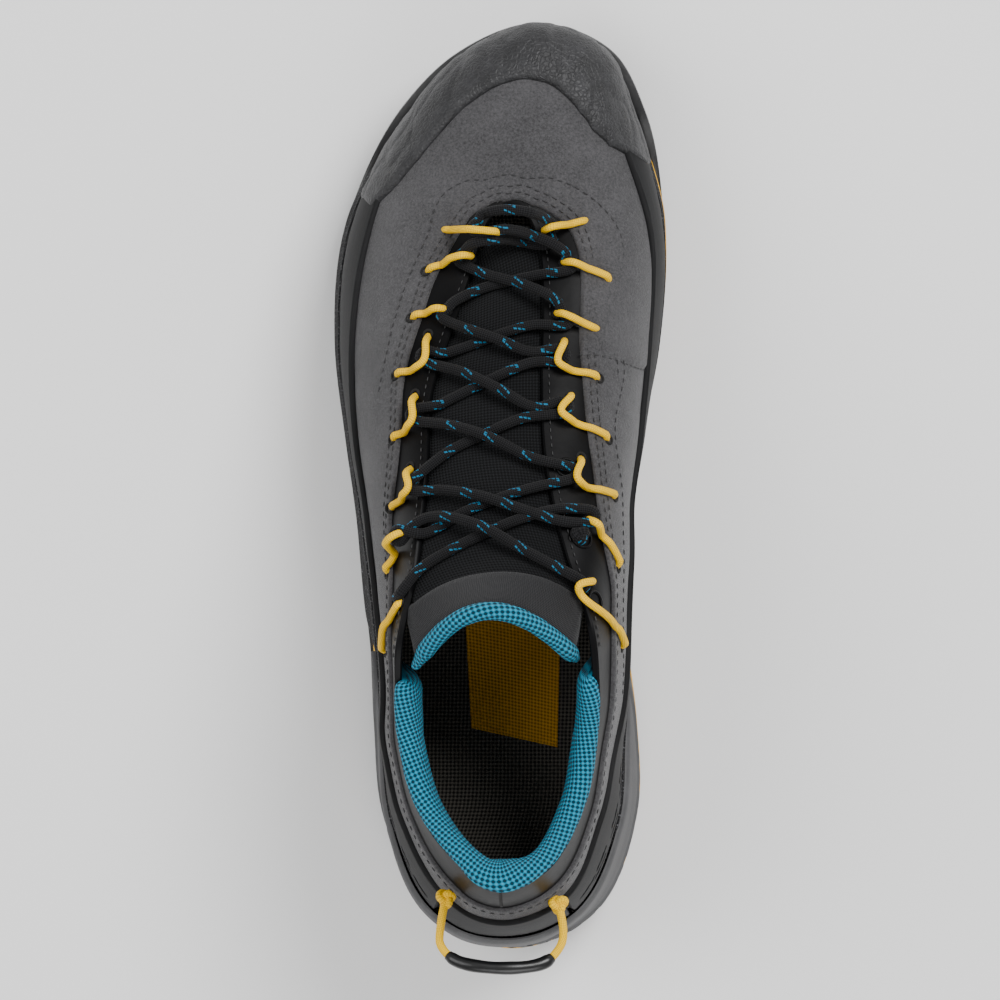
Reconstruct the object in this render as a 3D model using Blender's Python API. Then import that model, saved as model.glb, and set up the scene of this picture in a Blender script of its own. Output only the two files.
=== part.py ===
"""Left approach shoe, modelled as its maker would put it together.

The frame is the left shoe's own: +Y towards the toe, +X towards the inner (medial) side, +Z up,
with the ground at z = 0. All tables and sizes are in millimetres, and are turned to metres when
a mesh is written.

The form comes from one last. Its surface is a ring of ribs: each rib rises from the foot of the
upper, where it meets the sole, to the edge of the opening at the collar or the throat. Every
layer of the shoe is cut from that surface, at its own distance from it and between its own edges.
"""

import bmesh
import bpy
import numpy as np
from mathutils import Matrix, Vector

# Driving sizes of the shoe, in mm.
LENGTH = 292.0
BALL_WIDTH = 106.0
INSTEP_HEIGHT = 115.0
HEEL_HEIGHT = 27.0

# The tables below were drawn for this length, ball width and instep height.
DRAWN_LENGTH = 292.0
DRAWN_BALL_WIDTH = 106.0
DRAWN_INSTEP_HEIGHT = 115.0

# Thicknesses and clearances, in mm.
GAP = 0.3
WALL = 2.2
SUEDE = 1.0
RAND = 1.6
CAP = 1.8
GUARD = 2.6
STABILISER = 3.0
ACCENT = 2.0
INSOLE = 4.5
RIM_WIDTH = 2.4
LINING = 5.0
TONGUE = 3.0
LUG_HEIGHT = 4.5
LACE_RADIUS = 1.5
LOOP_RADIUS = 1.1
PULL_RADIUS = 1.0
SLEEVE_RADIUS = 1.9

# Samples round the shoe's edge on each side, and up a rib.
SIDE_STEPS = 30

# The last, a row for each rib from the heel's back to the toe, on the medial side.
# base_x, base_y: foot of the upper; floor: its height as a share of HEEL_HEIGHT.
# lift, swell: how far the rib starts up and outwards; top_x, top_y, top_z: the opening's edge.
# run, drop: how far outwards and down the rib leaves that edge.
# stay: width of the smooth band from the edge to the suede; rand: height of the rand's top.
# cap: length of rib that the toe cap covers.
LAST_COLUMNS = ("base_x", "base_y", "floor", "lift", "swell", "top_x", "top_y", "top_z",
                "run", "drop", "stay", "rand", "cap")
LAST_MEDIAL = (
    # heel back, beside it, heel corner, heel side, heel front
    (1.0, 9.0, 1.00, 35, 1.5, 0.0, 27.0, 116.0, 11, 24, 19, 87.5, 0),
    (11.8, 10.7, 1.00, 34, 1.8, 7.4, 28.6, 115.2, 10.5, 24, 19, 87.0, 0),
    (20.5, 16.0, 1.00, 33, 2.0, 13.5, 32.0, 113.0, 10, 24, 19, 85.0, 0),
    (33.0, 42.0, 1.00, 28, 3.0, 25.0, 50.0, 102.5, 6, 24, 13, 82.0, 0),
    (34.5, 70.0, 1.00, 28, 3.5, 29.0, 70.0, 103.0, 5, 25, 11, 75.0, 0),
    # collar front, top eyelet, upper throat, middle throat
    (35.0, 95.0, 0.99, 30, 8.0, 29.5, 87.0, 109.5, 16, 24, 14, 71.5, 0),
    (35.5, 118.0, 0.95, 30, 11.0, 27.0, 106.0, 115.0, 19, 20, 17, 66.5, 0),
    (36.0, 138.0, 0.88, 32, 7.0, 20.0, 125.0, 108.0, 26, 11, 14, 61.5, 0),
    (40.0, 162.0, 0.75, 32, 7.0, 14.0, 151.0, 96.0, 29, 8, 14, 57.0, 0),
    # ball, ball front, toe side, toe corner, toe
    (46.0, 192.0, 0.62, 32, 6.0, 12.5, 178.0, 83.0, 27, 5, 12, 51.0, 0),
    (47.5, 226.0, 0.60, 30, 6.0, 13.0, 205.0, 71.0, 30, 4, 12, 47.5, 12),
    (38.8, 262.0, 0.71, 32, 7.0, 11.0, 224.0, 64.0, 26, 8, 10, 46.0, 41),
    (31.2, 278.4, 0.82, 33, 10.0, 7.5, 230.5, 62.3, 33, 8, 5, 45.0, 46),
    (13.0, 285.0, 0.89, 34, 13.0, 2.0, 233.0, 61.5, 39, 8.5, 3, 45.0, 47),
)
# The same ribs on the lateral side, from the heel's corner to the toe's corner.
LAST_LATERAL = (
    (-9.8, 10.7, 1.00, 34, 1.8, -7.0, 29.2, 115.0, 10.5, 24, 19, 86.5, 0),
    (-18.0, 16.0, 1.00, 33, 2.0, -12.5, 34.0, 112.0, 10, 24, 19, 84.0, 0),
    (-30.0, 42.0, 1.00, 28, 3.0, -25.0, 50.0, 101.5, 6, 24, 13, 78.0, 0),
    (-33.0, 70.0, 1.00, 28, 3.0, -30.5, 70.0, 99.5, 4, 24, 11, 71.0, 0),
    (-35.0, 95.0, 0.99, 28, 4.0, -31.5, 86.0, 104.0, 5, 24, 13, 67.0, 0),
    (-37.5, 118.0, 0.94, 30, 5.0, -30.5, 102.0, 110.0, 10, 24, 12, 62.0, 0),
    (-40.0, 138.0, 0.86, 32, 5.0, -26.0, 122.0, 106.0, 12, 20, 9, 57.0, 0),
    (-43.5, 162.0, 0.75, 30, 6.0, -22.5, 148.0, 95.0, 16, 14, 9, 53.0, 0),
    (-47.0, 192.0, 0.62, 26, 5.0, -21.0, 173.0, 84.0, 18, 10, 10, 48.0, 0),
    (-44.0, 226.0, 0.60, 26, 5.0, -14.0, 196.0, 74.0, 24, 10, 9, 45.0, 20),
    (-26.3, 261.0, 0.71, 30, 7.0, -8.0, 214.0, 66.5, 32, 9, 8, 43.0, 37),
    (-10.3, 277.0, 0.82, 32, 10.0, -4.5, 226.0, 63.0, 35, 9, 5, 44.0, 44),
)

# The sole, a row for each rib. edge_x, edge_y: widest outline; tread: height that the lugs
# stand down from; strip: height of the accent strip; rim: top of the textured band; cup: top of
# the heel stabiliser, or below the strip where there is none; guard: top of the toe guard.
SOLE_COLUMNS = ("edge_x", "edge_y", "tread", "strip", "rim", "cup", "guard")
SOLE_MEDIAL = (
    (3.5, 0.6, 13.0, 19.5, 39.0, 61.0, 0),
    (17.5, 3.3, 9.5, 15.8, 39.5, 57.5, 0),
    (30.0, 11.5, 7.0, 12.0, 40.0, 50.0, 0),
    (43.5, 43.0, 4.5, 7.6, 40.5, 40.0, 0),
    (43.3, 71.5, 4.5, 7.6, 41.0, 30.5, 0),
    (40.5, 94.0, 5.0, 14.0, 41.0, 20.0, 0),
    (38.5, 114.0, 12.5, 19.5, 39.5, 8.0, 0),
    (40.0, 136.0, 10.5, 14.8, 33.5, 0.0, 0),
    (44.5, 162.0, 7.0, 10.6, 27.5, 0.0, 0),
    (50.5, 192.0, 4.5, 7.9, 23.5, 0.0, 0),
    (52.5, 226.0, 5.0, 10.8, 23.0, 0.0, 0),
    (46.0, 265.0, 11.0, 16.5, 24.5, 0.0, 23.6),
    (36.3, 283.0, 15.0, 19.5, 26.0, 0.0, 26.0),
    (12.7, 292.5, 17.0, 21.5, 27.0, 0.0, 27.7),
)
SOLE_LATERAL = (
    (-11.5, 4.2, 9.5, 15.8, 39.5, 57.5, 0),
    (-24.0, 13.5, 7.0, 12.0, 40.0, 50.0, 0),
    (-37.5, 44.0, 4.5, 7.6, 39.0, 39.0, 0),
    (-40.0, 71.5, 4.5, 7.6, 38.0, 29.0, 0),
    (-41.3, 94.0, 5.0, 11.5, 36.5, 18.0, 0),
    (-43.4, 114.0, 9.5, 14.5, 34.5, 8.0, 0),
    (-45.5, 136.0, 8.5, 12.2, 30.5, 0.0, 0),
    (-49.2, 162.0, 6.0, 9.8, 26.0, 0.0, 0),
    (-52.6, 192.0, 4.5, 7.9, 23.0, 0.0, 0),
    (-50.0, 226.0, 5.0, 10.8, 22.5, 0.0, 0),
    (-30.5, 267.0, 11.0, 16.5, 24.0, 0.0, 23.6),
    (-14.0, 283.0, 15.0, 19.5, 26.0, 0.0, 26.0),
)
TOE_ROW = len(LAST_MEDIAL) - 1
ROWS_ROUND = 2 * TOE_ROW
THROAT_ROWS = (5.2, TOE_ROW - 0.1)

# Ribs between which each overlay lies, counted from the heel's back through the medial side.
CAP_FROM, CAP_TO = 10.55, 15.75
RAND_FRONT_MEDIAL, RAND_FRONT_LATERAL = 10.5, 15.8
HEEL_RAND_REACH = 2.32
CUP_REACH = 5.0
LINING_REACH = 5.1

# Tongue: a row for each line across it, with the rib on each side and its middle's y and z,
# then the rim at its top, with the middle and both ends of the arch.
TONGUE_ROWS = (
    (11.35, 226.0, 61.0),
    (11.0, 220.0, 64.0),
    (10.5, 210.0, 67.5),
    (10.0, 200.5, 72.5),
    (9.0, 176.0, 84.0),
    (8.0, 150.5, 96.5),
    (7.0, 127.0, 109.0),
    (6.5, 119.0, 115.8),
)
TUCK_LENGTHS = (11.0, 5.5)
TUCK_THINNING = 0.5
TONGUE_RIM_MEDIAL = (22.5, 95.0, 112.0)
TONGUE_RIM_MIDDLE = (-3.5, 109.5, 127.5)
TONGUE_RIM_LATERAL = (-25.0, 93.0, 110.0)

# Lug lines along the foot, in mm from the heel's back: first line, last line and number of lugs.
HEEL_LUGS = (26.0, 99.0, 5)
FOREFOOT_LUGS = (163.0, 262.0, 8)
LUG_SHARE = 0.66
# Lug columns across the sole, as shares of its width from the lateral edge.
LUG_COLUMNS = ((0.03, 0.21), (0.29, 0.46), (0.54, 0.71), (0.79, 0.97))

# Lacing. Each loop, from the toe up: where it leaves the suede and where it holds the lace (x, y).
LOOPS_MEDIAL = (
    ((26.5, 225.0), (14.5, 220.5)), ((32.0, 206.5), (20.0, 212.0)), ((30.0, 193.0), (18.5, 196.5)),
    ((30.0, 178.0), (18.5, 181.0)), ((33.0, 161.5), (19.5, 167.0)), ((34.0, 143.0), (24.0, 147.0)),
    ((36.0, 122.5), (27.0, 135.5)), ((37.3, 103.5), (25.0, 114.5)),
)
LOOPS_LATERAL = (
    ((-17.5, 222.5), (-5.0, 222.0)), ((-23.0, 211.0), (-9.5, 213.0)), ((-28.0, 198.0), (-16.5, 198.5)),
    ((-32.5, 181.0), (-23.5, 182.5)), ((-33.0, 162.0), (-26.0, 165.0)), ((-34.0, 141.0), (-27.0, 145.0)),
    ((-35.0, 121.5), (-28.0, 133.0)), ((-35.8, 98.0), (-31.0, 112.0)),
)

# Half the width of the lace's turn at a loop, and the points along a bar with their share of the
# rise where one bar crosses the other.
LACE_TURN = 2.4
TOE_BAR_ARCH = 5.0
LACE_BAR = ((0.12, 0.6), (0.3, 1.0), (0.5, 1.0), (0.7, 1.0), (0.88, 0.6))

# Pull loop: the rib and height at which each end leaves the heel, the points between them from
# the medial side round to the lateral side, and the points between which the sleeve lies.
PULL_PLACE, PULL_SEAT = 1.75, 91.0
PULL_ROUTE = (
    (19.0, 12.5, 95.5), (17.5, 7.5, 99.5), (12.0, 3.4, 103.0), (0.0, 2.4, 104.5),
    (-12.0, 4.0, 103.0), (-17.5, 8.2, 99.5), (-18.0, 13.0, 95.5),
)
SLEEVE_FROM, SLEEVE_TO = 4, 6
SLEEVE_BORE = PULL_RADIUS + GAP
PULL_STEPS = 3

# Where a lug would stand less than this above the ground, it stands on it.
FLAT_BELOW = 0.8


class Ring:
    """A table with a row for each rib round the shoe, read smoothly between its rows."""

    def __init__(self, columns, medial, lateral, edge, scales):
        self.columns = columns
        rows = np.array(medial + tuple(reversed(lateral)), dtype=float)
        self.rows = rows * [scales.get(name, 1.0) for name in columns]
        across, along = (self.rows[:, columns.index(name)] for name in edge)
        self.steps = np.hypot(np.roll(across, -1) - across, np.roll(along, -1) - along)
        before = np.roll(self.steps, 1)
        arriving = (self.rows - np.roll(self.rows, 1, axis=0)) / before[:, None]
        leaving = np.roll(arriving, -1, axis=0)
        weight = (before / (before + self.steps))[:, None]
        self.slopes = arriving * (1.0 - weight) + leaving * weight

    def at(self, places):
        """Every column's value at these places, counted in rows from the heel's back."""
        places = np.asarray(places, dtype=float) % ROWS_ROUND
        row = places.astype(int) % ROWS_ROUND
        following = (row + 1) % ROWS_ROUND
        u = (places - row)[:, None]
        step = self.steps[row][:, None]
        values = (
            self.rows[row] * (1 + 2 * u) * (1 - u) ** 2
            + self.slopes[row] * step * u * (1 - u) ** 2
            + self.rows[following] * u * u * (3 - 2 * u)
            - self.slopes[following] * step * u * u * (1 - u)
        )
        return dict(zip(self.columns, values.T))


def size_scales():
    """How far each kind of column is scaled from the drawn sizes to the driving sizes."""
    across = BALL_WIDTH / DRAWN_BALL_WIDTH
    along = LENGTH / DRAWN_LENGTH
    up = INSTEP_HEIGHT / DRAWN_INSTEP_HEIGHT
    scales = {name: across for name in ("base_x", "top_x", "edge_x", "swell")}
    scales.update({name: along for name in ("base_y", "top_y", "edge_y", "run", "cap")})
    scales.update({name: up for name in ("lift", "top_z", "drop", "stay", "rand", "rim", "cup",
                                         "guard", "strip")})
    scales["floor"] = HEEL_HEIGHT
    return scales


LAST = Ring(LAST_COLUMNS, LAST_MEDIAL, LAST_LATERAL, ("base_x", "base_y"), size_scales())
SOLE = Ring(SOLE_COLUMNS, SOLE_MEDIAL, SOLE_LATERAL, ("edge_x", "edge_y"), size_scales())


def smooth_step(share):
    """0 up to share 0, 1 from share 1, smooth between."""
    share = np.clip(share, 0.0, 1.0)
    return share * share * (3 - 2 * share)


def rib(places, shares):
    """Points (n, m, 3) on the last at each place and each share of its rib, from foot to top."""
    row = LAST.at(places)
    base = np.stack((row["base_x"], row["base_y"], row["floor"]), axis=-1)
    top = np.stack((row["top_x"], row["top_y"], row["top_z"]), axis=-1)
    outward = (base - top) * (1, 1, 0)
    outward /= np.linalg.norm(outward, axis=1, keepdims=True)
    low = base + outward * row["swell"][:, None]
    low[:, 2] += row["lift"]
    high = top + outward * row["run"][:, None]
    high[:, 2] -= row["drop"]
    t = shares[:, :, None]
    base, low, high, top = (point[:, None, :] for point in (base, low, high, top))
    return base * (1 - t) ** 3 + 3 * low * t * (1 - t) ** 2 + 3 * high * t * t * (1 - t) + top * t ** 3


def skin(places, shares, offset):
    """Points at a distance outside the last's surface, one offset or one for each point."""
    places = np.asarray(places, dtype=float)
    shares = np.broadcast_to(shares, (len(places), np.shape(shares)[-1])).astype(float)
    nudge = 0.02
    points = rib(places, shares)
    round_shoe = rib(places + nudge, shares) - rib(places - nudge, shares)
    up_rib = rib(places, shares + nudge) - rib(places, shares - nudge)
    normal = np.cross(round_shoe, up_rib)
    normal /= np.linalg.norm(normal, axis=2, keepdims=True)
    offset = np.broadcast_to(offset, shares.shape)
    return points + normal * offset[:, :, None]


def share_at_height(places, heights):
    """The share of each rib at which it first reaches a height."""
    shares = np.linspace(0.0, 1.0, 161)
    rise = rib(places, np.broadcast_to(shares, (len(places), len(shares))))[:, :, 2]
    reached = rise >= np.asarray(heights)[:, None]
    index = np.clip(reached.argmax(axis=1), 1, len(shares) - 1)
    lines = np.arange(len(places))
    low, high = rise[lines, index - 1], rise[lines, index]
    part = np.clip((heights - low) / np.maximum(high - low, 1e-6), 0.0, 1.0)
    return shares[index - 1] + part * (shares[1] - shares[0])


def share_at_length(places, lengths, from_top=False):
    """The share of each rib at a length along it, from its foot or down from its top."""
    shares = np.linspace(0.0, 1.0, 161)
    points = rib(places, np.broadcast_to(shares, (len(places), len(shares))))
    run = np.linalg.norm(np.diff(points, axis=1), axis=2).cumsum(axis=1)
    run = np.concatenate((np.zeros((len(places), 1)), run), axis=1)
    wanted = run[:, -1] - lengths if from_top else np.broadcast_to(lengths, len(places))
    return np.array([np.interp(length, line, shares) for length, line in zip(wanted, run)])


def all_round(steps=SIDE_STEPS):
    """Places evenly round the shoe, each lateral one facing a medial one."""
    run = np.concatenate(([0.0], np.cumsum(SOLE.steps[:TOE_ROW])))
    medial = np.interp(np.linspace(0, run[-1], steps + 1), run, np.arange(TOE_ROW + 1))
    return np.concatenate((medial, ROWS_ROUND - medial[-2:0:-1]))


def stretch(start, stop):
    """The places of all_round between two places, with both ends. It may run through the heel."""
    ring = all_round()
    ring = np.concatenate((ring - ROWS_ROUND, ring))
    between = ring[(ring > start + 0.04) & (ring < stop - 0.04)]
    return np.concatenate(([start], between, [stop]))


def material(name, colour, roughness):
    """A plain finish for one sub-part."""
    finish = bpy.data.materials.new(name)
    finish.use_nodes = True
    shader = finish.node_tree.nodes["Principled BSDF"]
    shader.inputs["Base Color"].default_value = (*colour, 1.0)
    shader.inputs["Roughness"].default_value = roughness
    shader.inputs["Metallic"].default_value = 0.0
    return finish


def add_mesh(name, mesh, finish):
    """Turns a bmesh in millimetres into an object in metres."""
    bmesh.ops.recalc_face_normals(mesh, faces=mesh.faces)
    bmesh.ops.scale(mesh, vec=(0.001, 0.001, 0.001), verts=mesh.verts)
    data = bpy.data.meshes.new(name)
    mesh.to_mesh(data)
    mesh.free()
    data.materials.append(finish)
    data.shade_smooth()
    data.set_sharp_from_angle(angle=0.6)
    shoe_part = bpy.data.objects.new(name, data)
    bpy.context.scene.collection.objects.link(shoe_part)
    return shoe_part


def add_vertices(mesh, points):
    """Adds an array of points, and returns its vertices in the array's own layout."""
    flat = [mesh.verts.new(point) for point in points.reshape(-1, 3)]
    return np.array(flat, dtype=object).reshape(points.shape[:-1])


def add_quad(mesh, a, b, c, d):
    """Two triangles that fill a four-sided gap."""
    mesh.faces.new((a, b, c))
    mesh.faces.new((a, c, d))


def bridge(mesh, first, second, closed):
    """Joins two lines of vertices with a strip of triangles."""
    last = len(first) if closed else len(first) - 1
    for i in range(last):
        j = (i + 1) % len(first)
        add_quad(mesh, first[i], first[j], second[j], second[i])


def add_shell(name, outer, inner, finish, closed=False):
    """A wall between two grids of points: places round the shoe by points up the rib."""
    mesh = bmesh.new()
    outer, inner = add_vertices(mesh, outer), add_vertices(mesh, inner)
    profile = np.concatenate((outer, inner[:, ::-1]), axis=1)
    for k in range(profile.shape[1]):
        bridge(mesh, profile[:, k - 1], profile[:, k], closed)
    if not closed:
        for end in (0, -1):
            bridge(mesh, outer[end], inner[end], False)
    return add_mesh(name, mesh, finish)


def cap_ladder(mesh, ring):
    """Fills a ring of vertices with rungs between its medial and lateral halves."""
    half = len(ring) // 2
    mesh.faces.new((ring[0], ring[1], ring[-1]))
    for i in range(1, half - 1):
        add_quad(mesh, ring[i], ring[i + 1], ring[-i - 1], ring[-i])
    mesh.faces.new((ring[half - 1], ring[half], ring[half + 1]))


def add_stack(name, rings, finish):
    """A solid from rings of points, each joined to the next, with its first and last filled."""
    mesh = bmesh.new()
    levels = [add_vertices(mesh, ring) for ring in rings]
    for low, high in zip(levels, levels[1:]):
        bridge(mesh, low, high, True)
    cap_ladder(mesh, levels[0])
    cap_ladder(mesh, levels[-1])
    return add_mesh(name, mesh, finish)


def sole_edge(places, inset, heights):
    """The sole's outline, moved inwards in plan, at a height for each place."""
    row = SOLE.at(places)
    ahead, behind = SOLE.at(places + 0.02), SOLE.at(places - 0.02)
    along = np.stack((ahead["edge_x"] - behind["edge_x"], ahead["edge_y"] - behind["edge_y"]))
    along /= np.linalg.norm(along, axis=0)
    x = row["edge_x"] - along[1] * inset
    y = row["edge_y"] + along[0] * inset
    return np.stack((x, y, np.broadcast_to(heights, x.shape)), axis=-1)


def at_toe(places):
    """1 where the toe guard stands, 0 behind it."""
    from_toe = np.abs(np.asarray(places) - TOE_ROW)
    return smooth_step((2.9 - from_toe) / 0.7)


def at_heel(places):
    """1 where the heel stabiliser wraps the midsole, 0 in front of it."""
    places = np.asarray(places) % ROWS_ROUND
    from_heel = np.minimum(places, ROWS_ROUND - places)
    return smooth_step((5.7 - from_heel) / 1.3)


def guard_inset(places):
    """How far the toe guard keeps the layers behind it inside the sole's outline."""
    return at_toe(places) * (GUARD + GAP)


def skin_at_height(places, heights, offset):
    """A ring on the upper's side at a height for each place."""
    shares = share_at_height(places, heights)[:, None]
    offset = np.broadcast_to(offset, len(places))[:, None]
    return skin(places, shares, offset)[:, 0]


def outsole_places():
    """Places of the outsole's ribs, with one at each edge of each row of lugs."""
    along = SOLE.at(np.linspace(0, TOE_ROW, 441))["edge_y"]
    rows = np.linspace(0, TOE_ROW, 441)

    def lug_edges(first, last, count):
        pitch = (last - first) / count
        starts = first + pitch * np.arange(count)
        return np.stack((starts, starts + pitch * LUG_SHARE), axis=-1).ravel()

    heel, forefoot = lug_edges(*HEEL_LUGS), lug_edges(*FOREFOOT_LUGS)
    arch = np.linspace(heel[-1], forefoot[0], 7)[1:-1]
    middle = np.interp(np.concatenate((heel, arch, forefoot)), along, rows)
    behind = np.linspace(0.0, middle[0], 6)[:-1]
    ahead = np.linspace(middle[-1], TOE_ROW, 8)[1:]
    medial = np.concatenate((behind, middle, ahead))
    first_lug = len(behind)
    first_front = first_lug + len(heel) + len(arch)
    lug_rows = {first_lug + 2 * i for i in range(HEEL_LUGS[2])}
    lug_rows |= {first_front + 2 * i for i in range(FOREFOOT_LUGS[2])}
    return np.concatenate((medial, ROWS_ROUND - medial[-2:0:-1])), lug_rows


def make_outsole(finish):
    """The outsole, with its lugs and the toe guard that climbs in front of the toe cap."""
    places, lug_rows = outsole_places()
    row = SOLE.at(places)
    top = row["strip"] - ACCENT / 2 - GAP
    toe = at_toe(places)
    guard = top + (row["guard"] - top) * toe
    inset = toe * GUARD + 0.2
    levels = (
        sole_edge(places, 2.2, row["tread"]),
        sole_edge(places, 0.6, (row["tread"] + guard) / 2),
        sole_edge(places, 0.0, guard),
        sole_edge(places, inset, guard),
        sole_edge(places, inset + 0.2, top),
    )
    mesh = bmesh.new()
    rings = [add_vertices(mesh, ring) for ring in levels]
    for low, high in zip(rings, rings[1:]):
        bridge(mesh, low, high, True)
    cap_ladder(mesh, rings[-1])
    add_tread(mesh, rings[0], lug_rows)
    return add_mesh("outsole", mesh, finish)


def add_tread(mesh, ring, lug_rows):
    """Fills the outsole's underside with a grid, and draws the lugs down from it."""
    half = len(ring) // 2
    marks = [share for pair in LUG_COLUMNS for share in pair]
    lines = []
    for i in range(1, half):
        medial, lateral = ring[i], ring[-i]
        between = [mesh.verts.new(lateral.co.lerp(medial.co, share)) for share in marks]
        lines.append([lateral, *between, medial])
    for end, line in ((ring[0], lines[0]), (ring[half], lines[-1])):
        for a, b in zip(line, line[1:]):
            mesh.faces.new((end, a, b))
    lugs = []
    for i, (line, following) in enumerate(zip(lines, lines[1:]), start=1):
        for j in range(len(line) - 1):
            corners = (line[j], line[j + 1], following[j + 1], following[j])
            if i in lug_rows and j % 2 == 1:
                lugs.append(mesh.faces.new(corners))
            else:
                add_quad(mesh, *corners)
    drawn = bmesh.ops.extrude_discrete_faces(mesh, faces=lugs)["faces"]
    for face in drawn:
        middle = face.calc_center_median()
        for vertex in face.verts:
            low = vertex.co.z - LUG_HEIGHT
            vertex.co = vertex.co.lerp(middle, 0.1)
            vertex.co.z = 0.0 if low < FLAT_BELOW else low


def make_accent_layer(finish):
    """The thin bright layer between outsole and midsole."""
    places = outsole_places()[0]
    strip = SOLE.at(places)["strip"]
    inset = guard_inset(places) + 0.5
    low = sole_edge(places, inset, strip - ACCENT / 2)
    high = sole_edge(places, inset, strip + ACCENT / 2)
    return add_stack("accent_layer", (low, high), finish)


def midsole_side(places, share):
    """The midsole's outer side, at a share of the way from the accent layer up to its rim."""
    row = SOLE.at(places)
    low = row["strip"] + ACCENT / 2 + GAP
    height = low + (row["rim"] - low) * share
    inset = guard_inset(places) + at_heel(places) * (STABILISER + GAP) + 0.9
    rim = skin_at_height(places, row["rim"], SUEDE + GAP + RIM_WIDTH - 1.1 * at_toe(places))
    rim[:, 2] = height
    blend = smooth_step((share - 0.35) / 0.65) if share > 0.35 else 0.0
    bulge = 0.9 * np.sin(np.pi * min(share / 0.7, 1.0))
    outline = sole_edge(places, inset - bulge, height)
    return outline * (1 - blend) + rim * blend


def make_midsole(finish):
    """The midsole, with the textured band that cups the foot of the upper."""
    places = outsole_places()[0]
    rim = SOLE.at(places)["rim"]
    floor = LAST.at(places)["floor"] - GAP
    sides = [midsole_side(places, share) for share in (0.0, 0.25, 0.5, 0.75, 1.0)]
    clear = SUEDE + 2 * GAP * (1 + at_heel(places))
    rim_inner = skin_at_height(places, rim, clear)
    rim_inner[:, 2] = rim
    middle = skin_at_height(places, (rim + floor) / 2, clear)
    foot = skin(places, np.zeros((len(places), 1)), clear[:, None])[:, 0]
    foot[:, 2] = floor
    return add_stack("midsole", (*sides, rim_inner, middle, foot), finish)


def cup_side(places, height, offset):
    """The heel stabiliser's surfaces at one height for each place."""
    row = SOLE.at(places)
    low = row["strip"] + ACCENT / 2 + GAP
    share = np.clip((height - low) / (row["rim"] - low), 0.0, 1.0)
    points = np.empty((len(places), 3))
    for i, place in enumerate(places):
        here = places[i:i + 1]
        points[i] = midsole_side(here, float(share[i]))[0]
        if height[i] > row["rim"][i]:
            points[i] = skin_at_height(here, height[i:i + 1], SUEDE + GAP + RIM_WIDTH)[0]
        before = midsole_side(here - 0.05, float(share[i]))[0]
        after = midsole_side(here + 0.05, float(share[i]))[0]
        across = np.array((after[1] - before[1], before[0] - after[0], 0.0))
        points[i] += across / np.linalg.norm(across) * offset[i]
    points[:, 2] = height
    return points


def make_heel_stabiliser(finish):
    """The grey frame round the heel, from a point under the arch up to the heel's back."""
    ring = outsole_places()[0]
    ring = np.concatenate((ring[len(ring) // 2:] - ROWS_ROUND, ring[:len(ring) // 2]))
    between = ring[np.abs(ring) < CUP_REACH - 0.05]
    places = np.concatenate(([-CUP_REACH], between, [CUP_REACH]))
    row = SOLE.at(places)
    low = row["strip"] + ACCENT / 2 + GAP
    top = np.maximum(row["cup"], low + 1.5)
    thickness = STABILISER * at_heel(places) + 0.3
    outer, inner = [], []
    for share, swell in ((0.0, 0.4), (0.2, 1.0), (0.45, 1.0), (0.75, 0.8), (1.0, 0.5)):
        height = low + (top - low) * share
        outer.append(cup_side(places, height, 3 * GAP + thickness * swell))
        inner.append(cup_side(places, height, np.full(len(places), 3 * GAP)))
    return add_shell("heel_stabiliser", np.stack(outer, 1), np.stack(inner, 1), finish)


def make_upper(finish):
    """The upper: one wall over the whole last, with the suede raised below the smooth band."""
    places = all_round()
    stay = share_at_length(places, LAST.at(places)["stay"], from_top=True)
    suede = stay[:, None] * np.array((0.0, 0.14, 0.3, 0.46, 0.62, 0.8, 1.0))
    smooth = stay[:, None] + (1 - stay)[:, None] * np.array((0.06, 1.0))
    shares = np.concatenate((suede, smooth), axis=1)
    offsets = np.array([SUEDE] * suede.shape[1] + [0.0] * smooth.shape[1])
    outer = skin(places, shares, offsets)
    inner = skin(places, shares, -WALL)
    return add_shell("upper", outer, inner, finish, closed=True)


def overlay(name, places, high, inside, thickness, finish, rows=6):
    """A panel over the upper, from the sole up to a share of each rib."""
    row = SOLE.at(places)
    cover = np.maximum(row["rim"], row["guard"] * at_toe(places))
    cover = np.maximum(cover, np.where(at_heel(places) > 0, row["cup"], 0.0)) + 2 * GAP
    low = share_at_height(places, cover)
    steps = np.linspace(0.0, 1.0, rows)
    shares = low[:, None] + (high - low)[:, None] * steps
    outer = skin(places, shares, inside + thickness)
    inner = skin(places, shares, inside)
    outer[:, 0, 2] = cover
    inner[:, 0, 2] = cover
    return add_shell(name, outer, inner, finish)


def make_toe_cap(finish):
    """The grained cap over the toe."""
    places = stretch(CAP_FROM, CAP_TO)
    high = share_at_length(places, LAST.at(places)["cap"])
    return overlay("toe_cap", places, high, SUEDE + 2 * GAP, CAP, finish, rows=9)


def make_rand(finish):
    """The rubber band over the foot of the upper, from the toe cap round each side to the heel."""
    sides = []
    for name, start, stop in (("rand_medial", HEEL_RAND_REACH, RAND_FRONT_MEDIAL),
                              ("rand_lateral", RAND_FRONT_LATERAL, ROWS_ROUND - HEEL_RAND_REACH)):
        places = stretch(start, stop)
        high = share_at_height(places, LAST.at(places)["rand"])
        sides.append(overlay(name, places, high, SUEDE + GAP, RAND, finish, rows=5))
    return sides


def make_heel_rand(finish):
    """The rubber piece behind the heel, between both ends of the rand."""
    reach = HEEL_RAND_REACH - 0.02
    places = stretch(-reach, reach)
    high = share_at_height(places, LAST.at(places)["rand"])
    return overlay("heel_rand", places, high, SUEDE + GAP, RAND, finish, rows=5)


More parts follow.
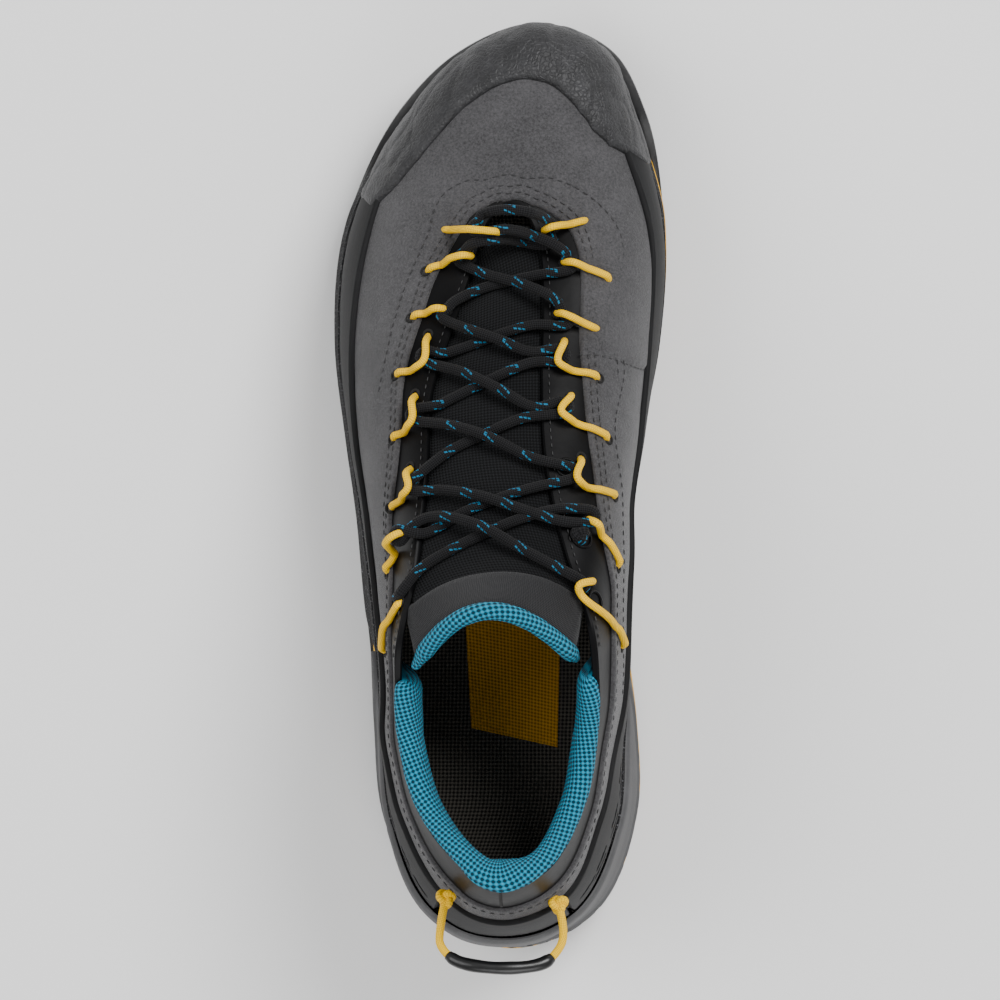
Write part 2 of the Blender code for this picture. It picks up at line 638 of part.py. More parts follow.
def make_collar_lining(finish):
    """The padded rim inside the collar, from one side of the tongue round the heel."""
    places = stretch(-LINING_REACH, LINING_REACH)
    lengths = (27.0, 19.0, 11.0, 5.0, 1.0)
    depths = np.array((1.6, 3.2, 4.6, LINING, LINING, LINING * 0.75))
    shares = [share_at_length(places, np.full(len(places), length), True) for length in lengths]
    shares = np.stack((*shares, np.full(len(places), 1.02)), axis=1)
    outer = skin(places, shares, -(WALL + 2 * GAP))
    inner = skin(places, shares, -(WALL + 2 * GAP) - depths)
    return add_shell("collar_lining", outer, inner, finish)


def make_insole(finish):
    """The footbed, which lies on the midsole inside the upper."""
    places = all_round()
    foot = LAST.at(places)["floor"]
    rings = []
    for height in (0.0, INSOLE):
        ring = skin_at_height(places, foot + height + 0.01, -(WALL + 3 * GAP))
        ring[:, 2] = foot + height
        rings.append(ring)
    return add_stack("insole", rings, finish)


def arch_through(first, middle, last, count):
    """Points on a smooth arch through a middle point."""
    t = np.linspace(0.0, 1.0, count)[:, None]
    peak = 2 * middle - (first + last) / 2
    return first * (1 - t) ** 2 + 2 * peak * t * (1 - t) + last * t ** 2


def tongue_lines():
    """The tongue's upper surface: lines across it, from under the vamp to its rim."""
    under = -(WALL + 3 * GAP)
    lines = []
    for place, middle_y, middle_z in TONGUE_ROWS:
        pair = np.array((place, ROWS_ROUND - place))
        tucks = [share_at_length(pair, np.full(2, length), True) for length in TUCK_LENGTHS]
        sides = skin(pair, np.stack((*tucks, np.ones(2)), axis=1), under)
        middle = np.array(((sides[0, 2, 0] + sides[1, 2, 0]) / 2, middle_y, middle_z))
        arch = arch_through(sides[0, 2], middle, sides[1, 2], 7)
        lines.append(np.concatenate((sides[0, :2], arch, sides[1, 1::-1])))
    rim = arch_through(*(np.array(point) for point in
                         (TONGUE_RIM_MEDIAL, TONGUE_RIM_MIDDLE, TONGUE_RIM_LATERAL)), len(lines[0]))
    last = lines[-1]
    for share in (0.35, 0.7, 1.0):
        lines.append(last * (1 - share) + rim * share)
    return np.stack(lines)


def grid_normals(points):
    """Unit normals of a grid of points."""
    normal = np.cross(np.gradient(points, axis=0), np.gradient(points, axis=1))
    return normal / np.linalg.norm(normal, axis=2, keepdims=True)


def make_tongue(finish):
    """The tongue, tucked under both sides of the throat, with its padded top."""
    outer = tongue_lines()
    normal = grid_normals(outer)
    if normal[5, 5, 2] < 0:
        normal = -normal
    thickness = np.full(len(outer), TONGUE)
    thickness[-3:] = (TONGUE + 0.6, TONGUE + 1.8, TONGUE + 0.6)
    tucked = np.ones(outer.shape[1])
    tucks = len(TUCK_LENGTHS) + 1
    tucked[:tucks] = tucked[-tucks:] = TUCK_THINNING
    inner = outer - normal * (thickness[:, None] * tucked)[:, :, None]
    return add_shell("tongue", outer, inner, finish)


class Terrain:
    """The upper side of the throat, on which the lacing lies."""

    def __init__(self):
        side = np.linspace(*THROAT_ROWS, 100)
        places = np.concatenate((side, ROWS_ROUND - side))
        stay = share_at_length(places, LAST.at(places)["stay"], from_top=True)[:, None]
        suede = skin(places, stay * np.linspace(0.45, 1.0, 40), SUEDE)
        smooth = skin(places, stay + (1 - stay) * np.linspace(0.0, 1.0, 16), 0.0)
        tongue = refine(refine(tongue_lines()).swapaxes(0, 1))
        self.points = np.concatenate([part.reshape(-1, 3) for part in (suede, smooth, tongue)])

    def height(self, x, y, radius):
        """The height of a ball's centre where it rests on the terrain."""
        flat = (self.points[:, 0] - x) ** 2 + (self.points[:, 1] - y) ** 2
        near = flat < radius * radius
        if not near.any():
            near = flat <= flat.min()
            return float(self.points[near, 2].max() + radius)
        return float((self.points[near, 2] + np.sqrt(radius * radius - flat[near])).max())


def refine(lines, times=8):
    """Adds points between the lines of a grid."""
    places = np.linspace(0, len(lines) - 1, (len(lines) - 1) * times + 1)
    low = np.minimum(places.astype(int), len(lines) - 2)
    part = (places - low)[:, None, None]
    return lines[low] * (1 - part) + lines[low + 1] * part


def smooth_route(points, times):
    """A smooth route through points, with more points between them."""
    points = np.array(points, dtype=float)
    extended = np.concatenate((2 * points[:1] - points[1:2], points, 2 * points[-1:] - points[-2:-1]))
    route = []
    for i in range(len(points) - 1):
        a, b, c, d = extended[i:i + 4]
        for t in np.arange(times) / times:
            route.append(0.5 * (2 * b + (c - a) * t + (2 * a - 5 * b + 4 * c - d) * t * t
                                + (3 * b - a - 3 * c + d) * t ** 3))
    route.append(points[-1])
    return np.array(route)


def tube_rings(route, radius, sides):
    """Rings of points round a route, as an array (points, sides, 3)."""
    ways = np.gradient(route, axis=0)
    ways /= np.linalg.norm(ways, axis=1, keepdims=True)
    upward = np.array((0.0, 0.0, 1.0)) if abs(ways[0][2]) < 0.9 else np.array((0.0, 1.0, 0.0))
    rings = []
    for point, way in zip(route, ways):
        upward = upward - way * np.dot(upward, way)
        upward /= np.linalg.norm(upward)
        sideways = np.cross(way, upward)
        turns = 2 * np.pi * (np.arange(sides) + 0.5) / sides
        rings.append([point + radius * (np.cos(a) * sideways + np.sin(a) * upward) for a in turns])
    return np.array(rings)


def add_tube(name, route, radius, finish, sides=6):
    """A round cord along a route, with flat ends."""
    mesh = bmesh.new()
    levels = add_vertices(mesh, tube_rings(route, radius, sides))
    for low, high in zip(levels, levels[1:]):
        bridge(mesh, low, high, True)
    mesh.faces.new(levels[0])
    mesh.faces.new(levels[-1])
    return add_mesh(name, mesh, finish)


def lace_bends():
    """The lace's turns, each of three points, from its lateral end down to the toe and up again."""
    medial = [held for hole, held in LOOPS_MEDIAL]
    lateral = [held for hole, held in LOOPS_LATERAL]
    count = len(medial)
    down = [((medial, lateral)[i % 2][i], -LACE_TURN) for i in reversed(range(count))]
    up = [((lateral, medial)[i % 2][i], LACE_TURN) for i in range(count)]
    bends = []
    for i, ((x, y), back) in enumerate(down + up):
        inward = LACE_TURN if i % 2 == 0 else -LACE_TURN
        bends.append([(x + inward, y + back), (x, y), (x + inward, y - back)])
    bends[0], bends[-1] = bends[0][1:], bends[-1][:-1]
    return bends


def lace_route(terrain):
    """The whole lace, which crosses the throat from loop to loop."""
    bends = lace_bends()
    plan, lifts = [], []
    for i, bend in enumerate(bends):
        plan += bend
        lifts += [0.0] * len(bend)
        if i == len(bends) - 1:
            break
        toe_bar = i == len(bends) // 2 - 1
        rise = 2 * LACE_RADIUS + 4 * GAP if i > len(bends) // 2 - 1 else 0.0
        start, stop = bend[-1], bends[i + 1][0]
        for share, part in LACE_BAR:
            forward = TOE_BAR_ARCH * np.sin(np.pi * share) if toe_bar else 0.0
            plan.append((start[0] + (stop[0] - start[0]) * share,
                         start[1] + (stop[1] - start[1]) * share + forward))
            lifts.append(rise * part)
    fine = smooth_route([(*point, 0.0) for point in plan], 4)
    rest = np.array([terrain.height(x, y, LACE_RADIUS + GAP) for x, y, _ in fine])
    route = fine[::4].copy()
    for i, lift in enumerate(lifts):
        route[i, 2] = rest[max(4 * i - 3, 0):4 * i + 4].max() + GAP + lift
    return route


def make_lace(terrain, finish):
    """The lace, one cord from end to end."""
    return add_tube("lace", lace_route(terrain), LACE_RADIUS, finish)


def make_side_loops(terrain, finish):
    """The thin cords that stand out of the suede and hold the lace."""
    for side, loops in (("medial", LOOPS_MEDIAL), ("lateral", LOOPS_LATERAL)):
        for number, (hole, held) in enumerate(loops, start=1):
            hole, held = np.array(hole), np.array(held)
            way = (held - hole) / np.linalg.norm(held - hole)
            end = held - way * (LACE_RADIUS + LOOP_RADIUS + 1.2)
            points = []
            for share in (0.0, 0.25, 0.5, 0.75, 1.0):
                x, y = hole + (end - hole) * share
                rest = terrain.height(x, y, LOOP_RADIUS + GAP + 0.15)
                points.append((x, y, rest + 1.2 * np.sin(np.pi * share)))
            add_tube(f"side_loop_{side}_{number}", np.array(points), LOOP_RADIUS, finish)


def pull_route():
    """The pull loop's route, straight out of the heel at both ends."""
    seats = np.array((PULL_PLACE, ROWS_ROUND - PULL_PLACE))
    near = skin_at_height(seats, np.full(2, PULL_SEAT), SUEDE + GAP)
    out = skin_at_height(seats, np.full(2, PULL_SEAT), SUEDE + GAP + 2.5)
    return smooth_route([near[0], out[0], *PULL_ROUTE, out[1], near[1]], PULL_STEPS)


def make_pull_loop(cord_finish, sleeve_finish):
    """The cord loop behind the heel and the sleeve round its middle."""
    route = pull_route()
    add_tube("pull_loop", route, PULL_RADIUS, cord_finish)
    middle = route[SLEEVE_FROM * PULL_STEPS:SLEEVE_TO * PULL_STEPS + 1]
    outer, inner = (tube_rings(middle, radius, 8).swapaxes(0, 1) for radius in
                    (SLEEVE_RADIUS, SLEEVE_BORE))
    add_shell("pull_loop_sleeve", outer, inner, sleeve_finish, closed=True)


def clear_scene():
    """Removes what the scene holds."""
    for old in list(bpy.data.objects):
        bpy.data.objects.remove(old, do_unlink=True)


def build():
    """Makes every sub-part of the shoe."""
    clear_scene()
    suede = material("suede", (0.085, 0.083, 0.085), 0.95)
    rubber = material("sole_rubber", (0.018, 0.018, 0.018), 0.55)
    rand_rubber = material("rand_rubber", (0.028, 0.028, 0.03), 0.6)
    band = material("textured_band", (0.015, 0.015, 0.016), 0.7)
    accent = material("accent_yellow", (0.86, 0.58, 0.045), 0.5)
    grey = material("stabiliser_grey", (0.1, 0.1, 0.102), 0.6)
    cap = material("grained_cap", (0.045, 0.045, 0.047), 0.55)
    knit = material("collar_knit", (0.02, 0.22, 0.33), 0.9)
    weave = material("tongue_weave", (0.02, 0.02, 0.022), 0.85)
    bed = material("insole_fabric", (0.02, 0.02, 0.02), 0.9)
    lace = material("lace_cord", (0.015, 0.015, 0.016), 0.7)
    loops = material("loop_cord", (0.86, 0.58, 0.045), 0.6)
    sleeve = material("sleeve_plastic", (0.012, 0.012, 0.012), 0.4)
    make_outsole(rubber)
    make_accent_layer(accent)
    make_midsole(band)
    make_heel_stabiliser(grey)
    make_upper(suede)
    make_toe_cap(cap)
    make_rand(rand_rubber)
    make_heel_rand(rand_rubber)
    make_collar_lining(knit)
    make_insole(bed)
    make_tongue(weave)
    terrain = Terrain()
    make_lace(terrain, lace)
    make_side_loops(terrain, loops)
    make_pull_loop(loops, sleeve)
    stand_at_origin()


def stand_at_origin():
    """Moves the shoe's meshes so that the middle of its base box is the origin."""
    shoe_parts = [item for item in bpy.data.objects if item.type == "MESH"]
    corners = np.array([vertex.co[:] for item in shoe_parts for vertex in item.data.vertices])
    low, high = corners.min(axis=0), corners.max(axis=0)
    middle = ((low[0] + high[0]) / 2, (low[1] + high[1]) / 2, low[2])
    for item in shoe_parts:
        item.data.transform(Matrix.Translation(-Vector(middle)))


build()
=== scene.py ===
"""Looks of the left approach shoe, built round its CAD frame.

Sizes are in millimetres in the drawing's own frame, as in the shoe's tables, and are turned to
metres in the row frame when a mesh is written. Every layer is laid on the same last.
"""

import logging
import math
from dataclasses import dataclass, field
from enum import Enum
from typing import Callable, Optional, Sequence

import bmesh
import bpy
import numpy as np
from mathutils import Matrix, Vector, noise
from mathutils.bvhtree import BVHTree


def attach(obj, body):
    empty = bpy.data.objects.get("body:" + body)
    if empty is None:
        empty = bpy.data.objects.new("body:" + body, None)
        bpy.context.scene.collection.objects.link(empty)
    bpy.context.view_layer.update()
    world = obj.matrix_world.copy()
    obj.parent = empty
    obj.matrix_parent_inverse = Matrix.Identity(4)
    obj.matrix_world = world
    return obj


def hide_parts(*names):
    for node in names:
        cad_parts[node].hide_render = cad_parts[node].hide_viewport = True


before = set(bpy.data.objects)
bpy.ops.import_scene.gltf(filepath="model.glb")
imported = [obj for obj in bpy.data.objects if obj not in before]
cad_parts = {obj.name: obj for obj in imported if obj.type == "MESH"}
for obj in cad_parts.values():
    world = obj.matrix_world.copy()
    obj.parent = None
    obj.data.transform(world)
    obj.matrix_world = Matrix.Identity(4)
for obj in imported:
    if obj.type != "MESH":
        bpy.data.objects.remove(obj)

log = logging.getLogger("approach_shoe")
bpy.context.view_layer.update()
MM = 0.001
DRAWN_ORIGIN = np.array((-0.023, 146.170, 0.0))
DIAGONAL = 0.785
UPWARDS = np.array((0.0, 0.0, 1.0))
Array = np.ndarray

# The top view: its scale, the height that the scale holds for, the eye, and two of its pixels
PX_PER_MM = 3.16
SCALE_HEIGHT = 20.0
EYE_HEIGHT = 1500.0
EYE_FORWARD = 142.1
MIDDLE_PIXEL = 223.0
HEEL_PIXEL = 946.0


class Side(Enum):
    """The two sides of the shoe."""

    MEDIAL = 1
    LATERAL = -1


# The last and the sole, in mm
HEEL_HEIGHT = 27.0
LAST_COLUMNS = ("base_x", "base_y", "floor", "lift", "swell", "top_x", "top_y", "top_z",
                "run", "drop", "rand", "cap")
LAST_MEDIAL = (
    (1.0, 9.0, 1.00, 35, 1.5, 0.0, 27.0, 116.0, 11, 24, 87.5, 0),
    (11.8, 10.7, 1.00, 34, 1.8, 7.4, 28.6, 115.2, 10.5, 24, 87.0, 0),
    (20.5, 16.0, 1.00, 33, 2.0, 13.5, 32.0, 113.0, 10, 24, 85.0, 0),
    (33.0, 42.0, 1.00, 28, 3.0, 25.0, 50.0, 102.5, 6, 24, 82.0, 0),
    (34.5, 70.0, 1.00, 28, 3.5, 29.0, 70.0, 103.0, 5, 25, 75.0, 0),
    (35.0, 95.0, 0.99, 30, 8.0, 29.5, 87.0, 109.5, 16, 24, 71.5, 0),
    (35.5, 118.0, 0.95, 30, 11.0, 27.0, 106.0, 115.0, 19, 20, 66.5, 0),
    (36.0, 138.0, 0.88, 32, 7.0, 20.0, 125.0, 108.0, 26, 11, 61.5, 0),
    (40.0, 162.0, 0.75, 32, 7.0, 14.0, 151.0, 96.0, 29, 8, 57.0, 0),
    (46.0, 192.0, 0.62, 32, 6.0, 12.5, 178.0, 83.0, 27, 5, 51.0, 0),
    (47.5, 226.0, 0.60, 30, 6.0, 13.0, 205.0, 71.0, 30, 4, 47.5, 12),
    (38.8, 262.0, 0.71, 32, 7.0, 11.0, 224.0, 64.0, 26, 8, 46.0, 41),
    (31.2, 278.4, 0.82, 33, 10.0, 7.5, 230.5, 62.3, 33, 8, 45.0, 46),
    (13.0, 285.0, 0.89, 34, 13.0, 2.0, 233.0, 61.5, 39, 8.5, 45.0, 47),
)
LAST_LATERAL = (
    (-9.8, 10.7, 1.00, 34, 1.8, -7.0, 29.2, 115.0, 10.5, 24, 86.5, 0),
    (-18.0, 16.0, 1.00, 33, 2.0, -12.5, 34.0, 112.0, 10, 24, 84.0, 0),
    (-30.0, 42.0, 1.00, 28, 3.0, -25.0, 50.0, 101.5, 6, 24, 78.0, 0),
    (-33.0, 70.0, 1.00, 28, 3.0, -30.5, 70.0, 99.5, 4, 24, 71.0, 0),
    (-35.0, 95.0, 0.99, 28, 4.0, -31.5, 86.0, 104.0, 5, 24, 67.0, 0),
    (-37.5, 118.0, 0.94, 30, 5.0, -30.5, 102.0, 110.0, 10, 24, 62.0, 0),
    (-40.0, 138.0, 0.86, 32, 5.0, -26.0, 122.0, 106.0, 12, 20, 57.0, 0),
    (-43.5, 162.0, 0.75, 30, 6.0, -22.5, 148.0, 95.0, 16, 14, 53.0, 0),
    (-47.0, 192.0, 0.62, 26, 5.0, -21.0, 173.0, 84.0, 18, 10, 48.0, 0),
    (-44.0, 226.0, 0.60, 26, 5.0, -14.0, 196.0, 74.0, 24, 10, 45.0, 20),
    (-26.3, 261.0, 0.71, 30, 7.0, -8.0, 214.0, 66.5, 32, 9, 43.0, 37),
    (-10.3, 277.0, 0.82, 32, 10.0, -4.5, 226.0, 63.0, 35, 9, 44.0, 44),
)
SOLE_COLUMNS = ("edge_x", "edge_y", "tread", "strip", "rim", "cup", "guard")
SOLE_MEDIAL = (
    (3.5, 0.6, 13.0, 19.5, 39.0, 61.0, 0),
    (17.5, 3.3, 9.5, 15.8, 39.5, 57.5, 0),
    (30.0, 11.5, 7.0, 12.0, 40.0, 50.0, 0),
    (43.5, 43.0, 4.5, 7.6, 40.5, 40.0, 0),
    (43.3, 71.5, 4.5, 7.6, 41.0, 30.5, 0),
    (40.5, 94.0, 5.0, 14.0, 41.0, 20.0, 0),
    (38.5, 114.0, 12.5, 19.5, 39.5, 8.0, 0),
    (40.0, 136.0, 10.5, 14.8, 33.5, 0.0, 0),
    (44.5, 162.0, 7.0, 10.6, 27.5, 0.0, 0),
    (50.5, 192.0, 4.5, 7.9, 23.5, 0.0, 0),
    (52.5, 226.0, 5.0, 10.8, 23.0, 0.0, 0),
    (46.0, 265.0, 11.0, 16.5, 24.5, 0.0, 23.6),
    (36.3, 283.0, 15.0, 19.5, 26.0, 0.0, 26.0),
    (12.7, 292.5, 17.0, 21.5, 27.0, 0.0, 27.7),
)
SOLE_LATERAL = (
    (-11.5, 4.2, 9.5, 15.8, 39.5, 57.5, 0),
    (-24.0, 13.5, 7.0, 12.0, 40.0, 50.0, 0),
    (-37.5, 44.0, 4.5, 7.6, 39.0, 39.0, 0),
    (-40.0, 71.5, 4.5, 7.6, 38.0, 29.0, 0),
    (-41.3, 94.0, 5.0, 11.5, 36.5, 18.0, 0),
    (-43.4, 114.0, 9.5, 14.5, 34.5, 8.0, 0),
    (-45.5, 136.0, 8.5, 12.2, 30.5, 0.0, 0),
    (-49.2, 162.0, 6.0, 9.8, 26.0, 0.0, 0),
    (-52.6, 192.0, 4.5, 7.9, 23.0, 0.0, 0),
    (-50.0, 226.0, 5.0, 10.8, 22.5, 0.0, 0),
    (-30.5, 267.0, 11.0, 16.5, 24.0, 0.0, 23.6),
    (-14.0, 283.0, 15.0, 19.5, 26.0, 0.0, 26.0),
)
TOE_ROW = len(LAST_MEDIAL) - 1
ROWS_ROUND = 2 * TOE_ROW
SEARCH_PLACES = 1041
SEARCH_SHARES = 201
RIB_MARKS = 161


def unit(vectors: Array) -> Array:
    """The same directions, each 1 long."""
    return vectors / np.linalg.norm(vectors, axis=-1, keepdims=True)


def run_along(points: Array) -> Array:
    """The length along a route at each of its points."""
    return np.concatenate(([0.0], np.linalg.norm(np.diff(points, axis=0), axis=1).cumsum()))


def from_end(count: int) -> Array:
    """How many points each point of a route is from its nearer end."""
    return np.minimum(np.arange(count), np.arange(count)[::-1])


def smooth_step(share: Array) -> Array:
    """0 up to share 0, 1 from share 1, smooth between."""
    share = np.clip(share, 0.0, 1.0)
    return share * share * (3 - 2 * share)


class Ring:
    """A table with a row for each rib round the shoe, read smoothly between its rows."""

    def __init__(self, columns: Sequence[str], medial: tuple, lateral: tuple,
                 edge: Sequence[str]) -> None:
        """Reads the rows and works out the slope of every column at every row."""
        self.columns = columns
        self.rows = np.array(medial + tuple(reversed(lateral)), dtype=float)
        across, along = (self.rows[:, columns.index(name)] for name in edge)
        self.steps = np.hypot(np.roll(across, -1) - across, np.roll(along, -1) - along)
        before = np.roll(self.steps, 1)
        arriving = (self.rows - np.roll(self.rows, 1, axis=0)) / before[:, None]
        leaving = np.roll(arriving, -1, axis=0)
        weight = (before / (before + self.steps))[:, None]
        self.slopes = arriving * (1.0 - weight) + leaving * weight

    def at(self, places: Array) -> dict:
        """Every column's value at these places.

        Args:
            places: counted in rows from the heel's back.

        Returns:
            One array for each column.
        """
        places = np.asarray(places, dtype=float) % ROWS_ROUND
        row = places.astype(int) % ROWS_ROUND
        following = (row + 1) % ROWS_ROUND
        u = (places - row)[:, None]
        step = self.steps[row][:, None]
        values = (self.rows[row] * (1 + 2 * u) * (1 - u) ** 2
                  + self.slopes[row] * step * u * (1 - u) ** 2
                  + self.rows[following] * u * u * (3 - 2 * u)
                  - self.slopes[following] * step * u * u * (1 - u))
        return dict(zip(self.columns, values.T))


class Last:
    """The shoe's last: a ring of ribs, and ways to find a place on it."""

    def __init__(self) -> None:
        """Reads the tables and samples the surface for the searches."""
        self.ring = Ring(LAST_COLUMNS, LAST_MEDIAL, LAST_LATERAL, ("base_x", "base_y"))
        self.sole = Ring(SOLE_COLUMNS, SOLE_MEDIAL, SOLE_LATERAL, ("edge_x", "edge_y"))
        self.places = np.linspace(0, ROWS_ROUND, SEARCH_PLACES)
        self.shares = np.linspace(0, 1, SEARCH_SHARES)
        spread = np.broadcast_to(self.shares, (SEARCH_PLACES, SEARCH_SHARES))
        self.samples = self.rib(self.places, spread)

    def rib(self, places: Array, shares: Array) -> Array:
        """Points (n, m, 3) at each place and each share of its rib, from foot to top."""
        row = self.ring.at(places)
        base = np.stack((row["base_x"], row["base_y"], row["floor"] * HEEL_HEIGHT), axis=-1)
        top = np.stack((row["top_x"], row["top_y"], row["top_z"]), axis=-1)
        outward = unit((base - top) * (1, 1, 0))
        low = base + outward * row["swell"][:, None]
        low[:, 2] += row["lift"]
        high = top + outward * row["run"][:, None]
        high[:, 2] -= row["drop"]
        t = shares[:, :, None]
        base, low, high, top = (point[:, None, :] for point in (base, low, high, top))
        return (base * (1 - t) ** 3 + 3 * low * t * (1 - t) ** 2
                + 3 * high * t * t * (1 - t) + top * t ** 3)

    def skin(self, places: Array, shares: Array, offset: Array | float) -> Array:
        """Points at a distance outside the surface.

        Args:
            places: n places round the shoe.
            shares: (n, m) shares up each rib, or m for all of them.
            offset: one distance, or one for each point.

        Returns:
            Points (n, m, 3).
        """
        places = np.asarray(places, dtype=float)
        shares = np.broadcast_to(shares, (len(places), np.shape(shares)[-1])).astype(float)
        nudge = 0.02
        points = self.rib(places, shares)
        round_shoe = self.rib(places + nudge, shares) - self.rib(places - nudge, shares)
        up_rib = self.rib(places, shares + nudge) - self.rib(places, shares - nudge)
        normal = unit(np.cross(round_shoe, up_rib))
        return points + normal * np.broadcast_to(offset, shares.shape)[:, :, None]

    def share_at_height(self, places: Array, heights: Array) -> Array:
        """The share of each rib at which it first reaches a height."""
        shares = np.linspace(0.0, 1.0, RIB_MARKS)
        rise = self.rib(places, np.broadcast_to(shares, (len(places), RIB_MARKS)))[:, :, 2]
        index = np.clip((rise >= np.asarray(heights)[:, None]).argmax(axis=1), 1, RIB_MARKS - 1)
        lines = np.arange(len(places))
        low, high = rise[lines, index - 1], rise[lines, index]
        part = np.clip((heights - low) / np.maximum(high - low, 1e-6), 0.0, 1.0)
        return shares[index - 1] + part * (shares[1] - shares[0])

    def share_at_length(self, places: Array, lengths: Array, from_top: bool = False) -> Array:
        """The share of each rib at a length along it, from its foot or down from its top."""
        shares = np.linspace(0.0, 1.0, RIB_MARKS)
        points = self.rib(places, np.broadcast_to(shares, (len(places), RIB_MARKS)))
        run = np.linalg.norm(np.diff(points, axis=1), axis=2).cumsum(axis=1)
        run = np.concatenate((np.zeros((len(places), 1)), run), axis=1)
        wanted = run[:, -1] - lengths if from_top else np.broadcast_to(lengths, len(places))
        return np.array([np.interp(length, line, shares) for length, line in zip(wanted, run)])

    def line(self, places: Array, shares: Array, offset: Array | float) -> Array:
        """Points (n, 3) at one share for each place, at a distance outside the surface."""
        offset = np.broadcast_to(offset, len(places))
        return self.skin(places, shares[:, None], offset[:, None])[:, 0]

    def at_height(self, places: Array, heights: Array, offset: Array | float) -> Array:
        """A ring on the upper's side at a height for each place."""
        return self.line(places, self.share_at_height(places, heights), offset)

    def _mask(self, side: Optional[Side]) -> Array:
        """Which of the sampled places lie on a side."""
        if side is None:
            return np.ones(len(self.places), bool)
        return (self.places <= TOE_ROW) if side is Side.MEDIAL else (self.places >= TOE_ROW)

    def find_from_above(self, x: float, y: float, side: Optional[Side] = None) -> tuple[float, float]:
        """The place and share of the highest point of the surface under a plan position."""
        keep = self._mask(side)
        grid = self.samples[keep]
        far = (grid[:, :, 0] - x) ** 2 + (grid[:, :, 1] - y) ** 2
        near = far < max(far.min() * 1.5, 0.6)
        height = np.where(near, grid[:, :, 2] - far, -1e9)
        i, j = np.unravel_index(height.argmax(), height.shape)
        return float(self.places[keep][i]), float(self.shares[j])

    def find_from_side(self, y: float, z: float, side: Side) -> tuple[float, float]:
        """The place and share of the surface seen at a height from one side."""
        keep = self._mask(side)
        grid = self.samples[keep]
        far = (grid[:, :, 1] - y) ** 2 + (grid[:, :, 2] - z) ** 2
        i, j = np.unravel_index(far.argmin(), far.shape)
        return float(self.places[keep][i]), float(self.shares[j])

    def sole_edge(self, places: Array, inset: Array | float, heights: Array | float) -> Array:
        """The sole's outline, moved inwards in plan, at a height for each place."""
        row = self.sole.at(places)
        ahead, behind = self.sole.at(places + 0.02), self.sole.at(places - 0.02)
        along = np.stack((ahead["edge_x"] - behind["edge_x"], ahead["edge_y"] - behind["edge_y"]))
        along /= np.linalg.norm(along, axis=0)
        x = row["edge_x"] - along[1] * inset
        y = row["edge_y"] + along[0] * inset
        return np.stack((x, y, np.broadcast_to(heights, x.shape)), axis=-1)


LAST = Last()


def ring_places(count: int) -> Array:
    """Places evenly round the whole sole."""
    run = np.concatenate(([0.0], np.cumsum(LAST.sole.steps)))
    return np.interp(np.linspace(0, run[-1], count, endpoint=False), run, np.arange(ROWS_ROUND + 1))


def stretch(start: float, stop: float, step: float = 1.6) -> Array:
    """Places about a step apart between two places; it may run through the heel."""
    run = np.concatenate(([0.0], np.cumsum(np.tile(LAST.sole.steps, 2)))) - LAST.sole.steps.sum()
    marks = np.arange(-ROWS_ROUND, ROWS_ROUND + 1)
    first, last = np.interp((start, stop), marks, run)
    count = max(int((last - first) / step), 4)
    return np.interp(np.linspace(first, last, count + 1), run, marks)


def smooth_route(points: Sequence, times: int) -> Array:
    """A smooth route through points, with more points between them."""
    points = np.array(points, dtype=float)
    extended = np.concatenate((2 * points[:1] - points[1:2], points, 2 * points[-1:] - points[-2:-1]))
    route = []
    for i in range(len(points) - 1):
        a, b, c, d = extended[i:i + 4]
        for t in np.arange(times) / times:
            route.append(0.5 * (2 * b + (c - a) * t + (2 * a - 5 * b + 4 * c - d) * t * t
                                + (3 * b - a - 3 * c + d) * t ** 3))
    route.append(points[-1])
    return np.array(route)


def counted_route(points: Array, count: int) -> Array:
    """The same route with a number of points spread evenly along it."""
    run = run_along(points)
    marks = np.linspace(0, run[-1], count)
    return np.stack([np.interp(marks, run, points[:, k]) for k in range(points.shape[1])], axis=1)


def route_length(points: Array) -> float:
    """The length along a route."""
    return float(np.linalg.norm(np.diff(points, axis=0), axis=1).sum())


def even_route(points: Array, step: float) -> Array:
    """The same route with points a fixed step apart."""
    return counted_route(points, max(int(route_length(points) / step), 2) + 1)


def from_top_view(px: float, py: float, height: float) -> tuple[float, float]:
    """Plan position in mm of a pixel of the top view, for a point at a height."""
    closer = (EYE_HEIGHT - height) / (EYE_HEIGHT - SCALE_HEIGHT)
    forward = (HEEL_PIXEL - py) / PX_PER_MM - EYE_FORWARD
    return (px - MIDDLE_PIXEL) / PX_PER_MM * closer, EYE_FORWARD + forward * closer


def found_from_pixel(px: float, py: float) -> tuple[float, float]:
    """The place and share on the last under a pixel of the top view."""
    height = 60.0
    for _ in range(4):
        x, y = from_top_view(px, py, height)
        place, share = LAST.find_from_above(x, y)
        height = float(LAST.rib(np.array([place]), np.array([[share]]))[0, 0, 2])
    return place, share


# Colours, nodes and finishes
def linear(hex_colour: str) -> tuple[float, float, float, float]:
    """An sRGB hex colour as linear red, green, blue and alpha."""
    levels = [int(hex_colour[i:i + 2], 16) / 255 for i in (1, 3, 5)]
    return (*(c / 12.92 if c <= 0.04045 else ((c + 0.055) / 1.055) ** 2.4 for c in levels), 1.0)


def per_mm(size: float) -> float:
    """The scale of a pattern with one cell in a size in mm, on coordinates in metres."""
    return 1.0 / (size * MM)


